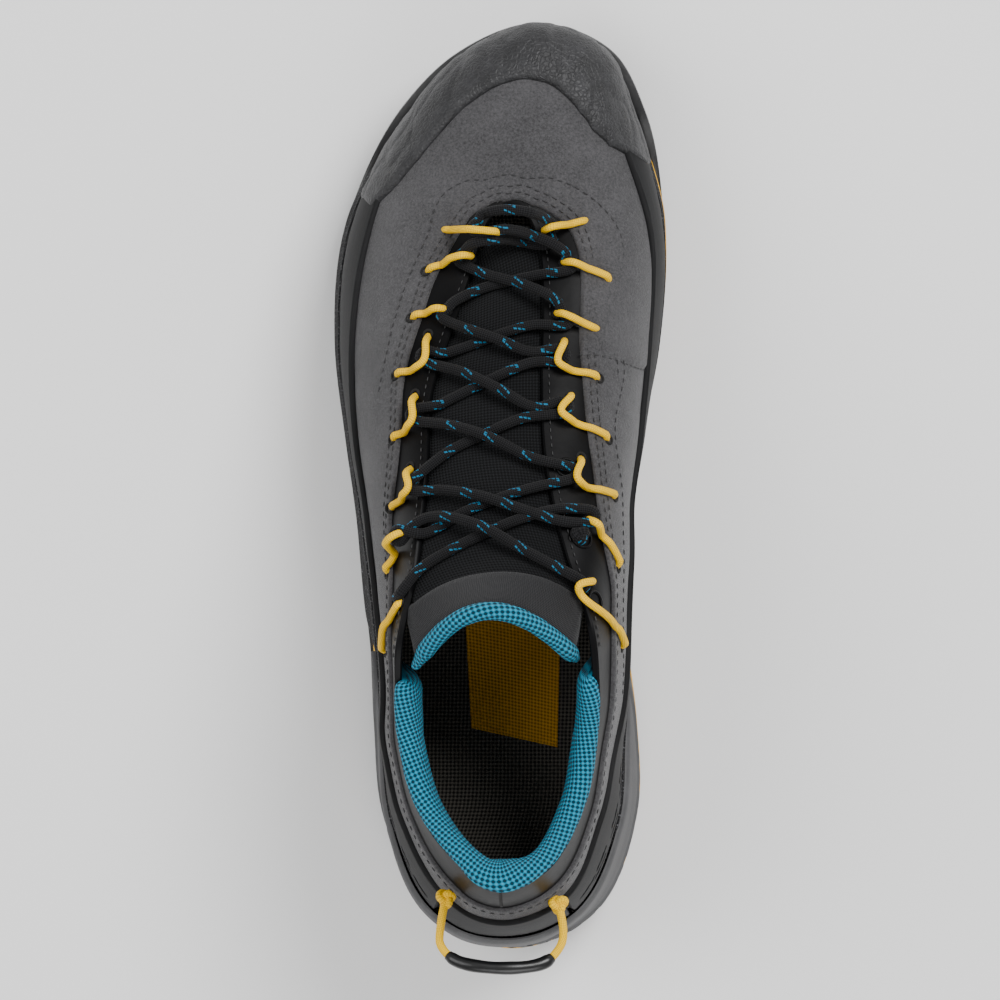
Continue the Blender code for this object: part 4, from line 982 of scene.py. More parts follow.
@dataclass
class Tread:
    """The outsole: its body, the ribbed guard over the toe, and bevelled lugs under it."""

    lug_height: float = 4.5
    guard: float = 2.9
    accent: float = 2.0
    heel_rows: tuple = (26.0, 99.0, 5)
    forefoot_rows: tuple = (163.0, 262.0, 8)
    columns: tuple = ((0.0, 0.2), (0.27, 0.45), (0.55, 0.73), (0.8, 1.0))
    share: float = 0.66

    def build(self) -> bpy.types.Object:
        """Makes the body and the lugs as one piece."""
        lugs = []
        for first, last, count in (self.heel_rows, self.forefoot_rows):
            pitch = (last - first) / (count - 1 + self.share)
            for row in range(count):
                low = first + row * pitch
                for column in self.columns:
                    lugs.append(self.lug(low, low + pitch * self.share, column))
        points = np.concatenate(lugs)
        faces = []
        for lug in range(len(lugs)):
            start = lug * LUG_LEVELS * LUG_SIDES
            faces += ring_faces(LUG_LEVELS, LUG_SIDES, start)
            faces.append(tuple(start + i for i in reversed(range(LUG_SIDES))))
            faces.append(tuple(start + (LUG_LEVELS - 1) * LUG_SIDES + i for i in range(LUG_SIDES)))
        blocks = write_mesh("lugs", points, faces, SOLE_RUBBER, None, 0.6)
        return join("outsole_rubber", [self.body(), blocks])

    def body(self) -> bpy.types.Object:
        """The sheet under the shoe, its side wall, and the guard with its ribs."""
        places = ring_places(480)
        row = LAST.sole.at(places)
        top = row["strip"] - self.accent / 2 - 0.1
        toe = at_toe(places)
        guard = top + (row["guard"] - top) * toe
        inset = toe * self.guard + 0.2
        rings = [LAST.sole_edge(places, 3.4, row["tread"]), LAST.sole_edge(places, 2.5, row["tread"] + 0.25)]
        for share in np.linspace(0.04, 0.94, 34):
            height = row["tread"] + (guard - row["tread"]) * share
            lean = 2.2 - 1.6 * min(share / 0.5, 1.0) - 0.6 * max(share - 0.5, 0.0) / 0.5
            rib = toe * smooth_step((share - 0.12) / 0.1) * smooth_step((0.86 - share) / 0.1)
            groove = smooth_step((np.cos(math.tau * height / 4.4) - 0.35) / 0.4)
            rings.append(LAST.sole_edge(places, lean + 0.9 * rib * groove, height))
        rings.append(LAST.sole_edge(places, 0.35, guard - 0.1))
        rings.append(LAST.sole_edge(places, inset * 0.6 + 0.4, guard))
        rings.append(LAST.sole_edge(places, inset, guard - 0.2 * toe))
        rings.append(LAST.sole_edge(places, inset + 0.2, top))
        count, levels = len(places), len(rings)
        faces = ring_faces(levels, count)
        high = (levels - 1) * count
        half = count // 2
        for i in range(half - 1):
            a, b, c, d = i, i + 1, (count - i - 1) % count, (count - i) % count
            corners = (a, b, c, d) if d != a else (a, b, c)
            faces.append(tuple(reversed(corners)))
            faces.append(tuple(high + k for k in corners))
        last = (half - 1, half, half + 1)
        faces.append(tuple(reversed(last)))
        faces.append(tuple(high + k for k in last))
        return write_mesh("outsole_body", np.concatenate(rings), faces, SOLE_RUBBER, None, 0.7)

    def across(self, y: float, share: float) -> Array:
        """Plan position and tread height at a share of the way from lateral to medial."""
        found = []
        for places in (np.linspace(ROWS_ROUND, TOE_ROW, 300), np.linspace(0, TOE_ROW, 300)):
            edge = LAST.sole_edge(places, 0.0, LAST.sole.at(places)["tread"])
            found.append([np.interp(y, edge[:, 1], edge[:, k]) for k in (0, 2)])
        x, tread = np.array(found[0]) * (1 - share) + np.array(found[1]) * share
        return np.array((x, y, tread))

    def lug(self, back: float, front: float, column: tuple) -> Array:
        """The points of one lug: eight sides, bevelled at the ground and sunk in the body."""
        bow = 2.6 * (1 - (sum(column) - 1) ** 2)
        first, last = column
        outer = first == 0.0 or last == 1.0
        first, last = first + (0.028 if first == 0.0 else 0.0), last - (0.028 if last == 1.0 else 0.0)
        corners = np.stack([self.across(y + bow, share) for y, share in
                            ((back, first), (back, last), (front, last), (front, first))])
        middle = corners.mean(axis=0)
        ring = []
        for i in range(4):
            before, at, after = corners[i - 1], corners[i], corners[(i + 1) % 4]
            ring += [at + (before - at) * 0.16, at + (after - at) * 0.16]
        ring = np.array(ring)
        ground = ring[:, 2] - self.lug_height
        ground = np.where(ground < 0.8, 0.0, ground)
        levels = []
        for size, rise in ((0.86, 0.0), (0.95, 0.6), (1.0, 3.0), (1.0, 8.0 if outer else 5.2)):
            level = middle + (ring - middle) * size
            level[:, 2] = ground + rise
            levels.append(level)
        return np.concatenate(levels)


@dataclass
class Sole:
    """Tread, accent layer, textured band and heel stabiliser."""

    accent: float = 2.0
    guard: float = 2.9
    wrap: float = 3.3
    rim_width: float = 2.4
    suede: float = 1.3
    stabiliser: float = 3.0
    cup_reach: float = 5.0
    groove_pitch: float = 6.0

    def build(self) -> None:
        """Makes every piece of the sole."""
        show(Tread().build(), "sole_rubber", "outsole")
        show(self.accent_layer(), "accent_yellow", "accent_layer")
        show(self.band(), "textured_band", "midsole")
        show(self.heel_stabiliser(), "stabiliser_grey", "heel_stabiliser")

    def accent_layer(self) -> bpy.types.Object:
        """The bright foam layer, proud of the band and of the outsole by a hair."""
        places = ring_places(520)
        strip = LAST.sole.at(places)["strip"]
        lateral = smooth_step(places - TOE_ROW - 1.5) * smooth_step(ROWS_ROUND - 2.0 - places)
        inset = at_toe(places) * self.guard + 1.5 * lateral
        rings = [LAST.sole_edge(places, inset + more, strip + rise) for more, rise in
                 ((0.6, -1.0), (-0.1, -0.85), (-0.4, -0.3), (-0.4, 0.3), (-0.1, 0.85), (0.6, 1.0))]
        outer = np.stack(rings, axis=1)
        inner = np.stack([LAST.sole_edge(places, inset + 6.0, strip + rise) for rise in
                          (-1.0, -0.6, -0.2, 0.2, 0.6, 1.0)], axis=1)
        return shell("accent_layer_foam", outer, inner, ACCENT_FOAM, True)

    def side(self, places: Array, share: Array) -> Array:
        """The band's outer side, at shares of the way from the accent layer up to its rim."""
        row = LAST.sole.at(places)
        low = row["strip"] + self.accent / 2
        height = low + (row["rim"] - low) * share
        inset = at_toe(places) * self.guard + at_heel(places) * self.wrap + 0.9
        outline = LAST.sole_edge(places, inset - 0.9 * np.sin(np.pi * np.minimum(share / 0.7, 1.0)), height)
        rim = LAST.at_height(places, row["rim"], self.suede + self.rim_width - 1.1 * at_toe(places))
        rim[:, 2] = height
        blend = smooth_step((share - 0.35) / 0.65)[:, None]
        return outline * (1 - blend) + rim * blend

    def band(self) -> bpy.types.Object:
        """The band that cups the foot of the upper, covered in coarse mesh."""
        places = ring_places(420)
        full = np.ones(len(places))
        outer = [self.side(places, full * share) for share in np.linspace(0, 1, 18)]
        rim = LAST.sole.at(places)["rim"]
        lip = LAST.at_height(places, rim, self.suede + 0.7)
        lip[:, 2] = rim + 0.5
        outer.append((outer[-1] + lip) / 2 + (0, 0, 0.45))
        outer.append(lip)
        inner = [LAST.sole_edge(places, 8.0, LAST.sole.at(places)["strip"] + self.accent / 2)]
        foot = LAST.ring.at(places)["floor"] * HEEL_HEIGHT
        for part in np.linspace(0.15, 1.0, len(outer) - 1):
            height = foot + (rim - foot) * part
            ring = LAST.at_height(places, height, self.suede - 0.2)
            ring[:, 2] = height - 0.3
            inner.append(ring)
        return shell("textured_band", np.stack(outer, 1), np.stack(inner, 1), BAND_MESH, True, 1.0)

    def heel_stabiliser(self) -> bpy.types.Object:
        """The grey frame round the heel, with slanted wedge grooves along its foot."""
        places = stretch(-self.cup_reach, self.cup_reach, 0.45)
        row = LAST.sole.at(places)
        low = row["strip"] + self.accent / 2 + 0.2
        top = np.maximum(row["cup"], low + 1.2)
        line = LAST.sole_edge(places, 0.0, 0.0)
        run = run_along(line)
        run -= run[len(run) // 2]
        outer, inner = [], []
        for share in np.concatenate(([0.0, 0.03], np.linspace(0.08, 0.92, 30), [0.97, 1.0])):
            height = low + (top - low) * share
            points = self.cup_points(places, height)
            across = self.outward(places)
            swell = math.sin(math.pi * min(max(share, 0.0), 1.0)) ** 0.35 if 0 < share < 1 else 0.0
            thick = (self.stabiliser * at_heel(places) + 0.3) * (0.35 + 0.65 * swell)
            phase = (np.abs(run) + (height - low) * 0.5) / self.groove_pitch % 1.0
            level = np.clip((height - low) / 12.0, 0.0, 1.6)
            beside = np.minimum(phase, 1 - phase)
            slot = 1 - smooth_step((beside - 0.05 - 0.13 * np.clip(level, 0, 1)) / 0.07)
            reach = smooth_step(level / 0.12) * smooth_step((1.0 - level) / 0.18)
            groove = slot * reach * smooth_step((3.9 - np.abs(places)) / 0.6)
            shoulder = 0.8 * smooth_step((level - 1.0) / 0.15)
            outer.append(points + across * (thick - 2.2 * groove - shoulder)[:, None])
            inner.append(points - across * 0.2)
        return shell("heel_frame", np.stack(outer, 1), np.stack(inner, 1), STABILISER_PLASTIC, False, 0.8)

    def cup_points(self, places: Array, height: Array) -> Array:
        """The surface under the stabiliser at one height for each place."""
        row = LAST.sole.at(places)
        low = row["strip"] + self.accent / 2
        share = np.clip((height - low) / (row["rim"] - low), 0.0, 1.0)
        points = self.side(places, share)
        above = LAST.at_height(places, np.maximum(height, row["rim"]), self.suede + self.rim_width)
        points = np.where((height > row["rim"])[:, None], above, points)
        points[:, 2] = height
        return points

    def outward(self, places: Array) -> Array:
        """Unit directions out of the sole in plan."""
        way = LAST.sole_edge(places + 0.03, 0.0, 0.0) - LAST.sole_edge(places - 0.03, 0.0, 0.0)
        across = np.stack((way[:, 1], -way[:, 0], np.zeros(len(way))), axis=1)
        return unit(across)


# The upper
SUEDE_EDGE_PIXELS = (
    (229, 200), (255, 203), (273, 211), (289, 222), (297, 236), (303, 262), (303, 290), (302, 330),
    (305, 367), (309, 412), (316, 460), (324, 520), (337, 590),
)
SUEDE_EDGE_PIXELS_LATERAL = (
    (229, 200), (208, 204), (192, 214), (183, 228), (170, 252), (154, 285), (143, 320), (132, 352),
    (124, 395), (124, 420), (118, 470), (112, 525),
)
SUEDE_EDGE_SIDE = (
    (106.5, 99.8), (88.7, 96.9), (73.4, 92.6), (58.4, 90.2), (48.2, 89.7), (36.4, 92.2), (23.6, 97.3),
)
STITCH_ARC_PIXELS = (
    (340, 369), (338, 337), (339, 311), (343, 282), (345, 260), (343, 233), (331, 213), (314, 196),
    (294, 182), (277, 177), (246, 176), (214, 176), (185, 180), (168, 191), (157, 211), (154, 228),
    (142, 255), (130, 282), (122, 306), (115, 330), (110, 354), (104, 386),
)
STITCH_SIDE = (
    (196.2, 75.0), (186.1, 67.6), (165.2, 77.9), (153.8, 81.3), (141.5, 82.4), (129.7, 84.6),
    (117.1, 86.9), (106.3, 86.9), (97.8, 84.3), (89.2, 81.5), (84.2, 79.0),
)
CAP_EDGE_PIXELS = (
    (378, 172), (355, 160), (331, 143), (314, 128), (302, 111), (287, 94), (273, 82), (258, 78),
    (234, 80), (214, 87), (190, 104), (169, 126), (144, 156), (125, 178), (107, 201),
)
CROSS_SEAM_PIXELS = ((303, 346), (320, 347), (338, 351), (356, 357), (372, 366))
RAND_SLOTS = (
    (78.2, 52.0), (70.6, 57.4), (66.8, 53.0), (57.9, 59.3), (54.7, 54.3), (45.6, 61.2), (42.4, 55.5),
    (33.2, 63.4), (30.4, 58.1), (24.6, 65.0),
)


@dataclass
class Upper:
    """The hollow upper: a smooth film over all of it, and the suede laid on below the lace stays."""

    wall: float = 2.2
    suede: float = 1.1
    cap_from: float = 10.55
    cap_to: float = 15.75
    rand: float = 1.6
    heel_rand_reach: float = 2.02
    slot_reach: float = 1.35
    slot_depth: float = 1.15
    edge_places: Array = field(default_factory=lambda: np.zeros(0))
    edge_shares: Array = field(default_factory=lambda: np.zeros(0))

    def __post_init__(self) -> None:
        """Finds the suede's inner edge on the last."""
        medial = pixels_on_last(SUEDE_EDGE_PIXELS) + side_on_last(SUEDE_EDGE_SIDE, Side.MEDIAL)
        lateral = pixels_on_last(SUEDE_EDGE_PIXELS_LATERAL) + side_on_last(
            [(y, z - 1.5) for y, z in SUEDE_EDGE_SIDE], Side.LATERAL)
        found = sorted(set(medial + lateral))
        places = np.array([place for place, _ in found])
        shares = np.array([share for _, share in found])
        around = np.concatenate((places - ROWS_ROUND, places, places + ROWS_ROUND))
        values = np.tile(shares, 3)
        fine = np.linspace(0, ROWS_ROUND, 521)
        line = np.interp(fine, around, values)
        kernel = np.hanning(11)
        padded = np.concatenate((line[-12:-1], line, line[1:12]))
        line = np.convolve(padded, kernel / kernel.sum(), mode="same")[11:-11]
        self.edge_places, self.edge_shares = fine, np.clip(line, 0.3, 0.992)

    def suede_edge(self, places: Array) -> Array:
        """The share of each rib at which the suede ends."""
        return np.interp(np.asarray(places) % ROWS_ROUND, self.edge_places, self.edge_shares)

    def build(self, stitcher: Stitcher) -> None:
        """Makes the upper's layers, its stitches and its slots."""
        show(self.film(), "suede", "upper")
        show(self.suede_panel(), "suede")
        show(self.toe_cap(), "grained_cap", "toe_cap")
        for name, start, stop in (("rand_medial", self.heel_rand_reach, 10.85),
                                  ("rand_lateral", 15.45, ROWS_ROUND - self.heel_rand_reach),
                                  ("heel_rand", 0.03 - self.heel_rand_reach, self.heel_rand_reach - 0.03)):
            show(self.rand_piece(name, start, stop), "rand_rubber", name)
        for piece in self.stitches(stitcher):
            show(piece, "suede")
        show(self.slots(), "rand_rubber")

    def film(self) -> bpy.types.Object:
        """The wall of the whole upper, black and smooth where it shows at the stays and the collar."""
        places = ring_places(420)
        shares = np.concatenate((np.linspace(0, 0.985, 90), [0.993, 1.0]))
        rise = np.concatenate((np.zeros(91), [-0.5]))
        points = LAST.skin(places, shares, 0.0)
        edge = self.suede_edge(places)[:, None]
        above = smooth_step((shares[None, :] - edge - 0.02) / 0.04)
        ripple = 0.28 * rough(points, 11.0, 3.0) * above
        outer = LAST.skin(places, shares, rise + ripple)
        inner = LAST.skin(places, shares, np.concatenate((np.full(91, -self.wall), [-self.wall + 0.5])))
        return shell("upper_film", outer, inner, FILM, True)

    def seam_step(self, points: Array) -> Array:
        """Soft dents all over, and the step where the front suede overlaps the medial quarter."""
        seam = [from_top_view(px, py, 78.0) for px, py in CROSS_SEAM_PIXELS]
        x, y = np.array(seam).T
        line = np.interp(points[:, :, 0], x, y, right=y[-1] - 4.0)
        front = smooth_step((points[:, :, 1] - line + 0.35) / 0.7)
        beside = np.maximum(smooth_step((x[0] - 2.0 - points[:, :, 0]) / 1.0), 0.0)
        step = 0.75 * front * (1 - beside) * smooth_step((points[:, :, 1] - 100) / 10)
        step = np.where(points[:, :, 0] > 0, step, 0.0)
        front_fade = smooth_step((232.0 - points[:, :, 1]) / 25.0)
        return step * front_fade + 0.35 * rough(points, 26.0, 7.0) + 0.12 * rough(points, 7.0, 1.0)

    def suede_panel(self) -> bpy.types.Object:
        """The suede, from the sole up to the stays and the collar band."""
        places = ring_places(460)
        low = np.full(len(places), 0.015)
        return Panel("suede_panel", places, low, self.suede_edge(places), 0.05, self.suede, SUEDE,
                     edge=0.9, step=1.5, closed=True, relief=self.seam_step).build()

    def cover_low(self, places: Array) -> Array:
        """The share at which the sole's rim covers the upper."""
        row = LAST.sole.at(places)
        cover = np.maximum(row["rim"], row["guard"] * at_toe(places))
        cover = np.maximum(cover, np.where(at_heel(places) > 0, row["cup"], 0.0)) - 0.8
        return LAST.share_at_height(places, cover)

    def wrinkles(self, points: Array) -> Array:
        """Creases and dents of the toe cap's leather."""
        folds = np.abs(rough(points * (1.0, 0.45, 1.0), 7.5, 11.0))
        return 0.5 * rough(points, 17.0, 5.0) - 0.55 * (1 - folds) ** 6 + 0.22 * rough(points, 4.0, 2.0)

    def toe_cap(self) -> bpy.types.Object:
        """The embossed leather cap over the toe, thick enough to stand proud of the rand."""
        places = stretch(self.cap_from, self.cap_to, 1.1)
        marks = ladder(float(len(places)), edge=3.0, step=1.0)
        places = np.interp(marks, np.linspace(0, 1, len(places)), places)
        found = sorted(pixels_on_last(CAP_EDGE_PIXELS))
        high = np.interp(places, *np.array(found).T)
        near_end = np.minimum(places - self.cap_from, self.cap_to - places)
        high -= 0.05 * (1 - np.clip(near_end / 0.3, 0, 1)) ** 2
        return Panel("toe_cap_leather", places, self.cover_low(places), high, self.suede + 0.1, 2.1,
                     CAP_LEATHER, edge=2.4, step=0.9, relief=self.wrinkles).build()

    def rand_piece(self, name: str, start: float, stop: float) -> bpy.types.Object:
        """One length of the rubber rand, with its slots sunk in it."""
        places = stretch(start, stop, 0.75)
        high = LAST.share_at_height(places, LAST.ring.at(places)["rand"])
        lines = [line for side in Side for line in self.slot_lines(side, 0.0)]

        def sunk(points: Array) -> Array:
            """The rubber's unevenness, with the slots pressed in."""
            depth = np.zeros(points.shape[:2])
            for line in lines:
                way = line[-1] - line[0]
                along = np.clip((points - line[0]) @ way / (way @ way), 0, 1)
                far = np.linalg.norm(points - line[0] - along[:, :, None] * way, axis=2)
                depth = np.maximum(depth, smooth_step((self.slot_reach - far) / 0.6))
            return 0.16 * rough(points, 21.0, 4.0) - self.slot_depth * depth

        return Panel(name + "_sheet", places, self.cover_low(places), high, self.suede + 0.1, self.rand,
                     RAND_RUBBER, edge=0.8, step=0.7, relief=sunk).build()

    def slot_lines(self, side: Side, offset: float) -> list[Array]:
        """The middle lines of one side's slots, at a distance from the last."""
        lines = []
        for y, z in RAND_SLOTS:
            lift = 0.0 if side is Side.MEDIAL else -3.0
            place, share = LAST.find_from_side(y, z + lift, side)
            ahead, up = LAST.find_from_side(y + 2.2, z + lift - 1.0, side)
            behind = (place * 2 - ahead, share * 2 - up)
            lines.append(trail([behind, (place, share), (ahead, up)], offset, 4))
        return lines

    def stitches(self, stitcher: Stitcher) -> list[bpy.types.Object]:
        """The light stitches on the suede: the long arc, the double edge row and the cross seam."""
        top = self.suede + 0.35
        arc = even_route(trail(pixels_on_last(STITCH_ARC_PIXELS), top), 1.0)
        side = even_route(trail(side_on_last(STITCH_SIDE, Side.MEDIAL), top), 1.0)
        lines = [arc, side]
        for inset in (2.2, 4.6):
            for start, stop in ((6.8, TOE_ROW), (TOE_ROW, ROWS_ROUND - 6.6)):
                places = stretch(start, stop, 1.5)
                lines.append(LAST.line(places, self.inset_share(places, inset), top))
        collar = stretch(-6.6, 6.8, 1.5)
        lines.append(LAST.line(collar, self.inset_share(collar, 2.2), top))
        seam = trail(pixels_on_last([(px + 1, py + 7) for px, py in CROSS_SEAM_PIXELS]), top)
        sewn = stitcher.sew("suede_stitches", lines, EDGE_SEAM)
        dark = stitcher.sew("seam_stitches", [seam], FINE_SEAM)
        stays = []
        for start, stop in ((5.6, TOE_ROW - 0.4), (TOE_ROW + 0.4, ROWS_ROUND - 5.6)):
            places = stretch(start, stop, 1.5)
            shares = LAST.share_at_length(places, np.full(len(places), 2.6), True)
            stays.append(LAST.line(places, shares, 0.3))
        held = stitcher.sew("stay_stitches", stays, FINE_SEAM)
        return [sewn, dark, held]

    def inset_share(self, places: Array, inset: float) -> Array:
        """The share of each rib a distance below the suede's edge."""
        edge = self.suede_edge(places)
        fine = LAST.rib(places, np.stack((edge - 0.05, edge), axis=1))
        per_share = np.linalg.norm(fine[:, 1] - fine[:, 0], axis=1) / 0.05
        return edge - inset / per_share

    def slots(self) -> bpy.types.Object:
        """The teal layer that shows at the bottom of the rand's slots."""
        made = []
        for side in Side:
            for number, line in enumerate(self.slot_lines(side, self.suede + 0.35)):
                made.append(tube(f"slot_{side.name}_{number}", line, 0.8, SLOT_TEAL, 8))
        return join("rand_slots", made)


@dataclass
class Collar:
    """The padded knit lining round the collar, and the seam down the back of the heel."""

    reach: float = 5.15

    def build(self) -> None:
        """Makes the lining and the seam."""
        lining = show(self.lining(), "collar_knit", "collar_lining")
        show(self.heel_seam(), "suede")

    def lining(self) -> bpy.types.Object:
        """A soft roll over the edge of the upper, which thins out down inside the heel."""
        places = stretch(-self.reach, self.reach, 1.2)
        row = LAST.ring.at(places)
        per_share = 3.0 * np.hypot(row["run"], row["drop"])
        section = ((-0.6, 0.25), (-2.0, -0.2), (-2.9, -1.6), (-3.1, -3.3), (-2.2, -5.2), (0.0, -6.9),
                   (4.0, -8.3), (9.0, -8.9), (15.0, -8.2), (21.0, -6.2), (27.0, -4.2), (31.0, -3.0),
                   (31.0, -2.4), (20.0, -2.3), (8.0, -2.3), (1.0, -2.3), (-0.5, -1.4), (-0.5, -0.4))
        section = smooth_route(section + section[:1], 2)[:-1]
        fade = np.sqrt(1 - (1 - np.clip(from_end(len(places)) / 5.0, 0, 1)) ** 2)
        lines = []
        for length, offset in section:
            if length < 0:
                shares = 1.0 - length / per_share * (0.4 + 0.6 * fade)
            else:
                shares = LAST.share_at_length(places, np.full(len(places), length), True)
            fuller = 1 + 0.42 * smooth_step((2.4 - np.abs(places)) / 2.2)
            depth = -2.35 + (offset + 2.35) * (0.25 + 0.75 * fade) * fuller
            lines.append(LAST.line(places, shares, depth))
        rings = np.stack(lines, axis=1)
        rings = rings + 0.15 * rough(rings, 9.0, 2.0)[:, :, None]
        half = rings.shape[1] // 2
        return shell("collar_knit", rings[:, :half], rings[:, half:][:, ::-1], TEAL_KNIT, False, 1.3)

    def heel_seam(self) -> bpy.types.Object:
        """The closed seam in the film behind the collar."""
        route = LAST.line(np.zeros(12), np.linspace(0.80, 0.985, 12), 0.15)
        return tube("heel_seam", route, 0.5, HOLE_SHADE_AND_SEAM, 8)


@dataclass
class Insole:
    """The footbed, with a plain printed patch on it."""

    thickness: float = 4.5
    clear: float = 3.4

    def build(self) -> None:
        """Makes the bed and its patch."""
        show(self.bed(), "insole_fabric", "insole")
        show(self.patch(), "insole_fabric")

    def line(self, places: Array, rise: float) -> Array:
        """The bed's outline at a height above its floor."""
        floor = LAST.ring.at(places)["floor"] * HEEL_HEIGHT
        ring = LAST.at_height(places, floor + 5.0, -self.clear)
        ring[:, 2] = floor + rise
        return ring

    def bed(self) -> bpy.types.Object:
        """A thin bed with its rim turned up round the foot."""
        medial = np.linspace(0.02, TOE_ROW - 0.02, 150)
        first, last = self.line(medial, 0.0), self.line(ROWS_ROUND - medial, 0.0)
        t = ladder(70.0, 5.0, 3.0)
        top = first[:, None] * (1 - t[:, None]) + last[:, None] * t[:, None]
        bowl = 3.2 * np.abs(2 * t - 1) ** 6
        under = top.copy()
        top[:, :, 2] += self.thickness + bowl
        return shell("insole_bed", top, under, BED_FABRIC, False)

    def patch(self) -> bpy.types.Object:
        """The gold print under the tongue, left bare."""
        corners = np.array(((-9.0, 70.5), (18.0, 64.5), (19.0, 106.0), (-11.0, 106.0)))
        u, v = np.meshgrid(np.linspace(0, 1, 12), np.linspace(0, 1, 16), indexing="ij")
        low = corners[0] * (1 - u[..., None]) + corners[1] * u[..., None]
        high = corners[3] * (1 - u[..., None]) + corners[2] * u[..., None]
        plan = low * (1 - v[..., None]) + high * v[..., None]
        height = 27.0 + self.thickness
        top = np.concatenate((plan, np.full(plan.shape[:2] + (1,), height + 0.12)), axis=2)
        under = top - (0, 0, 0.2)
        return shell("insole_print", top, under, BED_PRINT, False)


# The tongue
TONGUE_ROWS = (
    (11.35, 226.0, 61.0), (11.0, 220.0, 64.0), (10.5, 210.0, 67.5), (10.0, 200.5, 72.5),
    (9.0, 176.0, 84.0), (8.0, 150.5, 96.5), (7.0, 127.0, 109.0), (6.5, 119.0, 115.8),
)
TONGUE_RIM = ((22.5, 95.0, 112.0), (-3.5, 109.5, 127.5), (-25.0, 93.0, 110.0))
TONGUE_COLUMNS = 61
PAD_ROWS = 24


def arch_through(first: Array, middle: Array, last: Array, count: int) -> Array:
    """Points on a smooth arch through a middle point."""
    t = np.linspace(0.0, 1.0, count)[:, None]
    peak = 2 * middle - (first + last) / 2
    return first * (1 - t) ** 2 + 2 * peak * t * (1 - t) + last * t ** 2


def grid_normals(points: Array) -> Array:
    """Unit normals of a grid of points."""
    return unit(np.cross(np.gradient(points, axis=0), np.gradient(points, axis=1)))


@dataclass
class Tongue:
    """The woven tongue, its padded top and its knit rim."""

    thickness: float = 2.4
    under: float = 2.5
    tucks: tuple = (9.0, 4.5)
    pad: float = 2.2
    rim_radius: float = 2.7

    def build(self) -> bpy.types.Object:
        """Makes the tongue's pieces; returns the woven one, which the lacing lies on."""
        woven = show(self.woven(), "tongue_weave", "tongue")
        pad = show(self.padded_top(), "tongue_weave")
        show(self.rim(), "collar_knit")
        return woven

    def grid(self) -> Array:
        """The tongue's upper surface as fine lines across it, from the vamp to its rim."""
        keys = np.array(TONGUE_ROWS)
        steps = np.linspace(0, 1, len(keys))
        fine = np.linspace(0, 1, 90)
        rows = np.stack([np.interp(fine, steps, keys[:, k]) for k in range(3)], axis=1)
        rows = np.stack([np.convolve(np.pad(c, 4, mode="edge"), np.ones(9) / 9, "valid")
                         for c in rows.T], axis=1)
        lines = []
        for place, middle_y, middle_z in rows:
            pair = np.array((place, ROWS_ROUND - place))
            tucked = [LAST.share_at_length(pair, np.full(2, length), True) for length in self.tucks]
            sides = LAST.skin(pair, np.stack((*tucked, np.ones(2)), axis=1), -self.under)
            middle = np.array(((sides[0, 2, 0] + sides[1, 2, 0]) / 2, middle_y, middle_z))
            arch = arch_through(sides[0, 2], middle, sides[1, 2], 45)
            line = np.concatenate((sides[0, :2], arch, sides[1, 1::-1]))
            lines.append(counted_route(line, TONGUE_COLUMNS))
        rim = arch_through(*(np.array(point) for point in TONGUE_RIM), len(lines[0]))
        last = lines[-1]
        for share in np.linspace(0.0, 1.0, 22)[1:]:
            lines.append(last * (1 - share) + rim * share)
        return np.stack(lines)

    def woven(self) -> bpy.types.Object:
        """The woven sheet, gently uneven as cloth is."""
        outer = self.grid()
        normal = grid_normals(outer)
        if normal[40, 30, 2] < 0:
            normal = -normal
        wave = 0.45 * rough(outer, 16.0, 9.0)
        outer = outer + normal * wave[:, :, None]
        columns = np.linspace(0, 1, outer.shape[1])
        tucked = 0.4 + 0.6 * smooth_step(np.minimum(columns, 1 - columns) / 0.2)
        inner = outer - normal * (self.thickness * tucked)[None, :, None]
        return shell("tongue_weave", outer, inner, TONGUE_WEAVE)

    def padded_top(self) -> bpy.types.Object:
        """The smooth stuffed pad at the tongue's upper end."""
        grid = self.grid()[-PAD_ROWS:]
        normal = grid_normals(grid)
        if normal[10, 30, 2] < 0:
            normal = -normal
        rows = np.linspace(0, 1, 46)
        columns = np.linspace(0, 1, TONGUE_COLUMNS)
        marks = np.linspace(0, 1, PAD_ROWS)
        points, ways = (np.stack([[np.interp(rows, marks, values[:, j, k]) for j in range(TONGUE_COLUMNS)]
                                  for k in range(3)]).transpose(2, 1, 0) for values in (grid, normal))
        front = 0.24 * (2 * columns - 1) ** 2
        level = (rows[:, None] - front[None, :]) / (1 - front[None, :])
        swell = np.sqrt(np.clip(1 - (2 * np.clip(level, 0, 1) - 1) ** 6, 0, 1))
        edge = np.clip(np.minimum(columns, 1 - columns) / 0.05, 0, 1) ** 0.5
        height = -0.8 + (self.pad + 0.8 + 0.5 * rough(points, 14.0, 6.0)) * swell * edge[None, :]
        outer = points + ways * height[:, :, None]
        inner = points - ways * (self.thickness + 0.8 * swell * edge[None, :])[:, :, None]
        return shell("tongue_pad", outer, inner, PAD_FABRIC)

    def rim(self) -> bpy.types.Object:
        """The knit binding along the tongue's upper edge."""
        first, middle, last = (np.array(point) for point in TONGUE_RIM)
        drop = np.array((0.0, 0.0, -7.0))
        arch = arch_through(first, middle, last, 60)
        route = np.concatenate(((first + drop)[None], arch, (last + drop)[None]))
        route = even_route(smooth_route(route[::4], 4), 1.0)
        radii = self.rim_radius * (0.55 + 0.45 * smooth_step(from_end(len(route)) / 8.0))
        return tube("tongue_rim", route, radii, TEAL_KNIT, 16)


# The lacing
@dataclass(frozen=True)
class LacePart:
    """A stretch of lace between two bends: its pixels, and whether it crosses on top."""

    end: tuple[float, float]
    side: Side
    over: bool
    across: tuple = ()


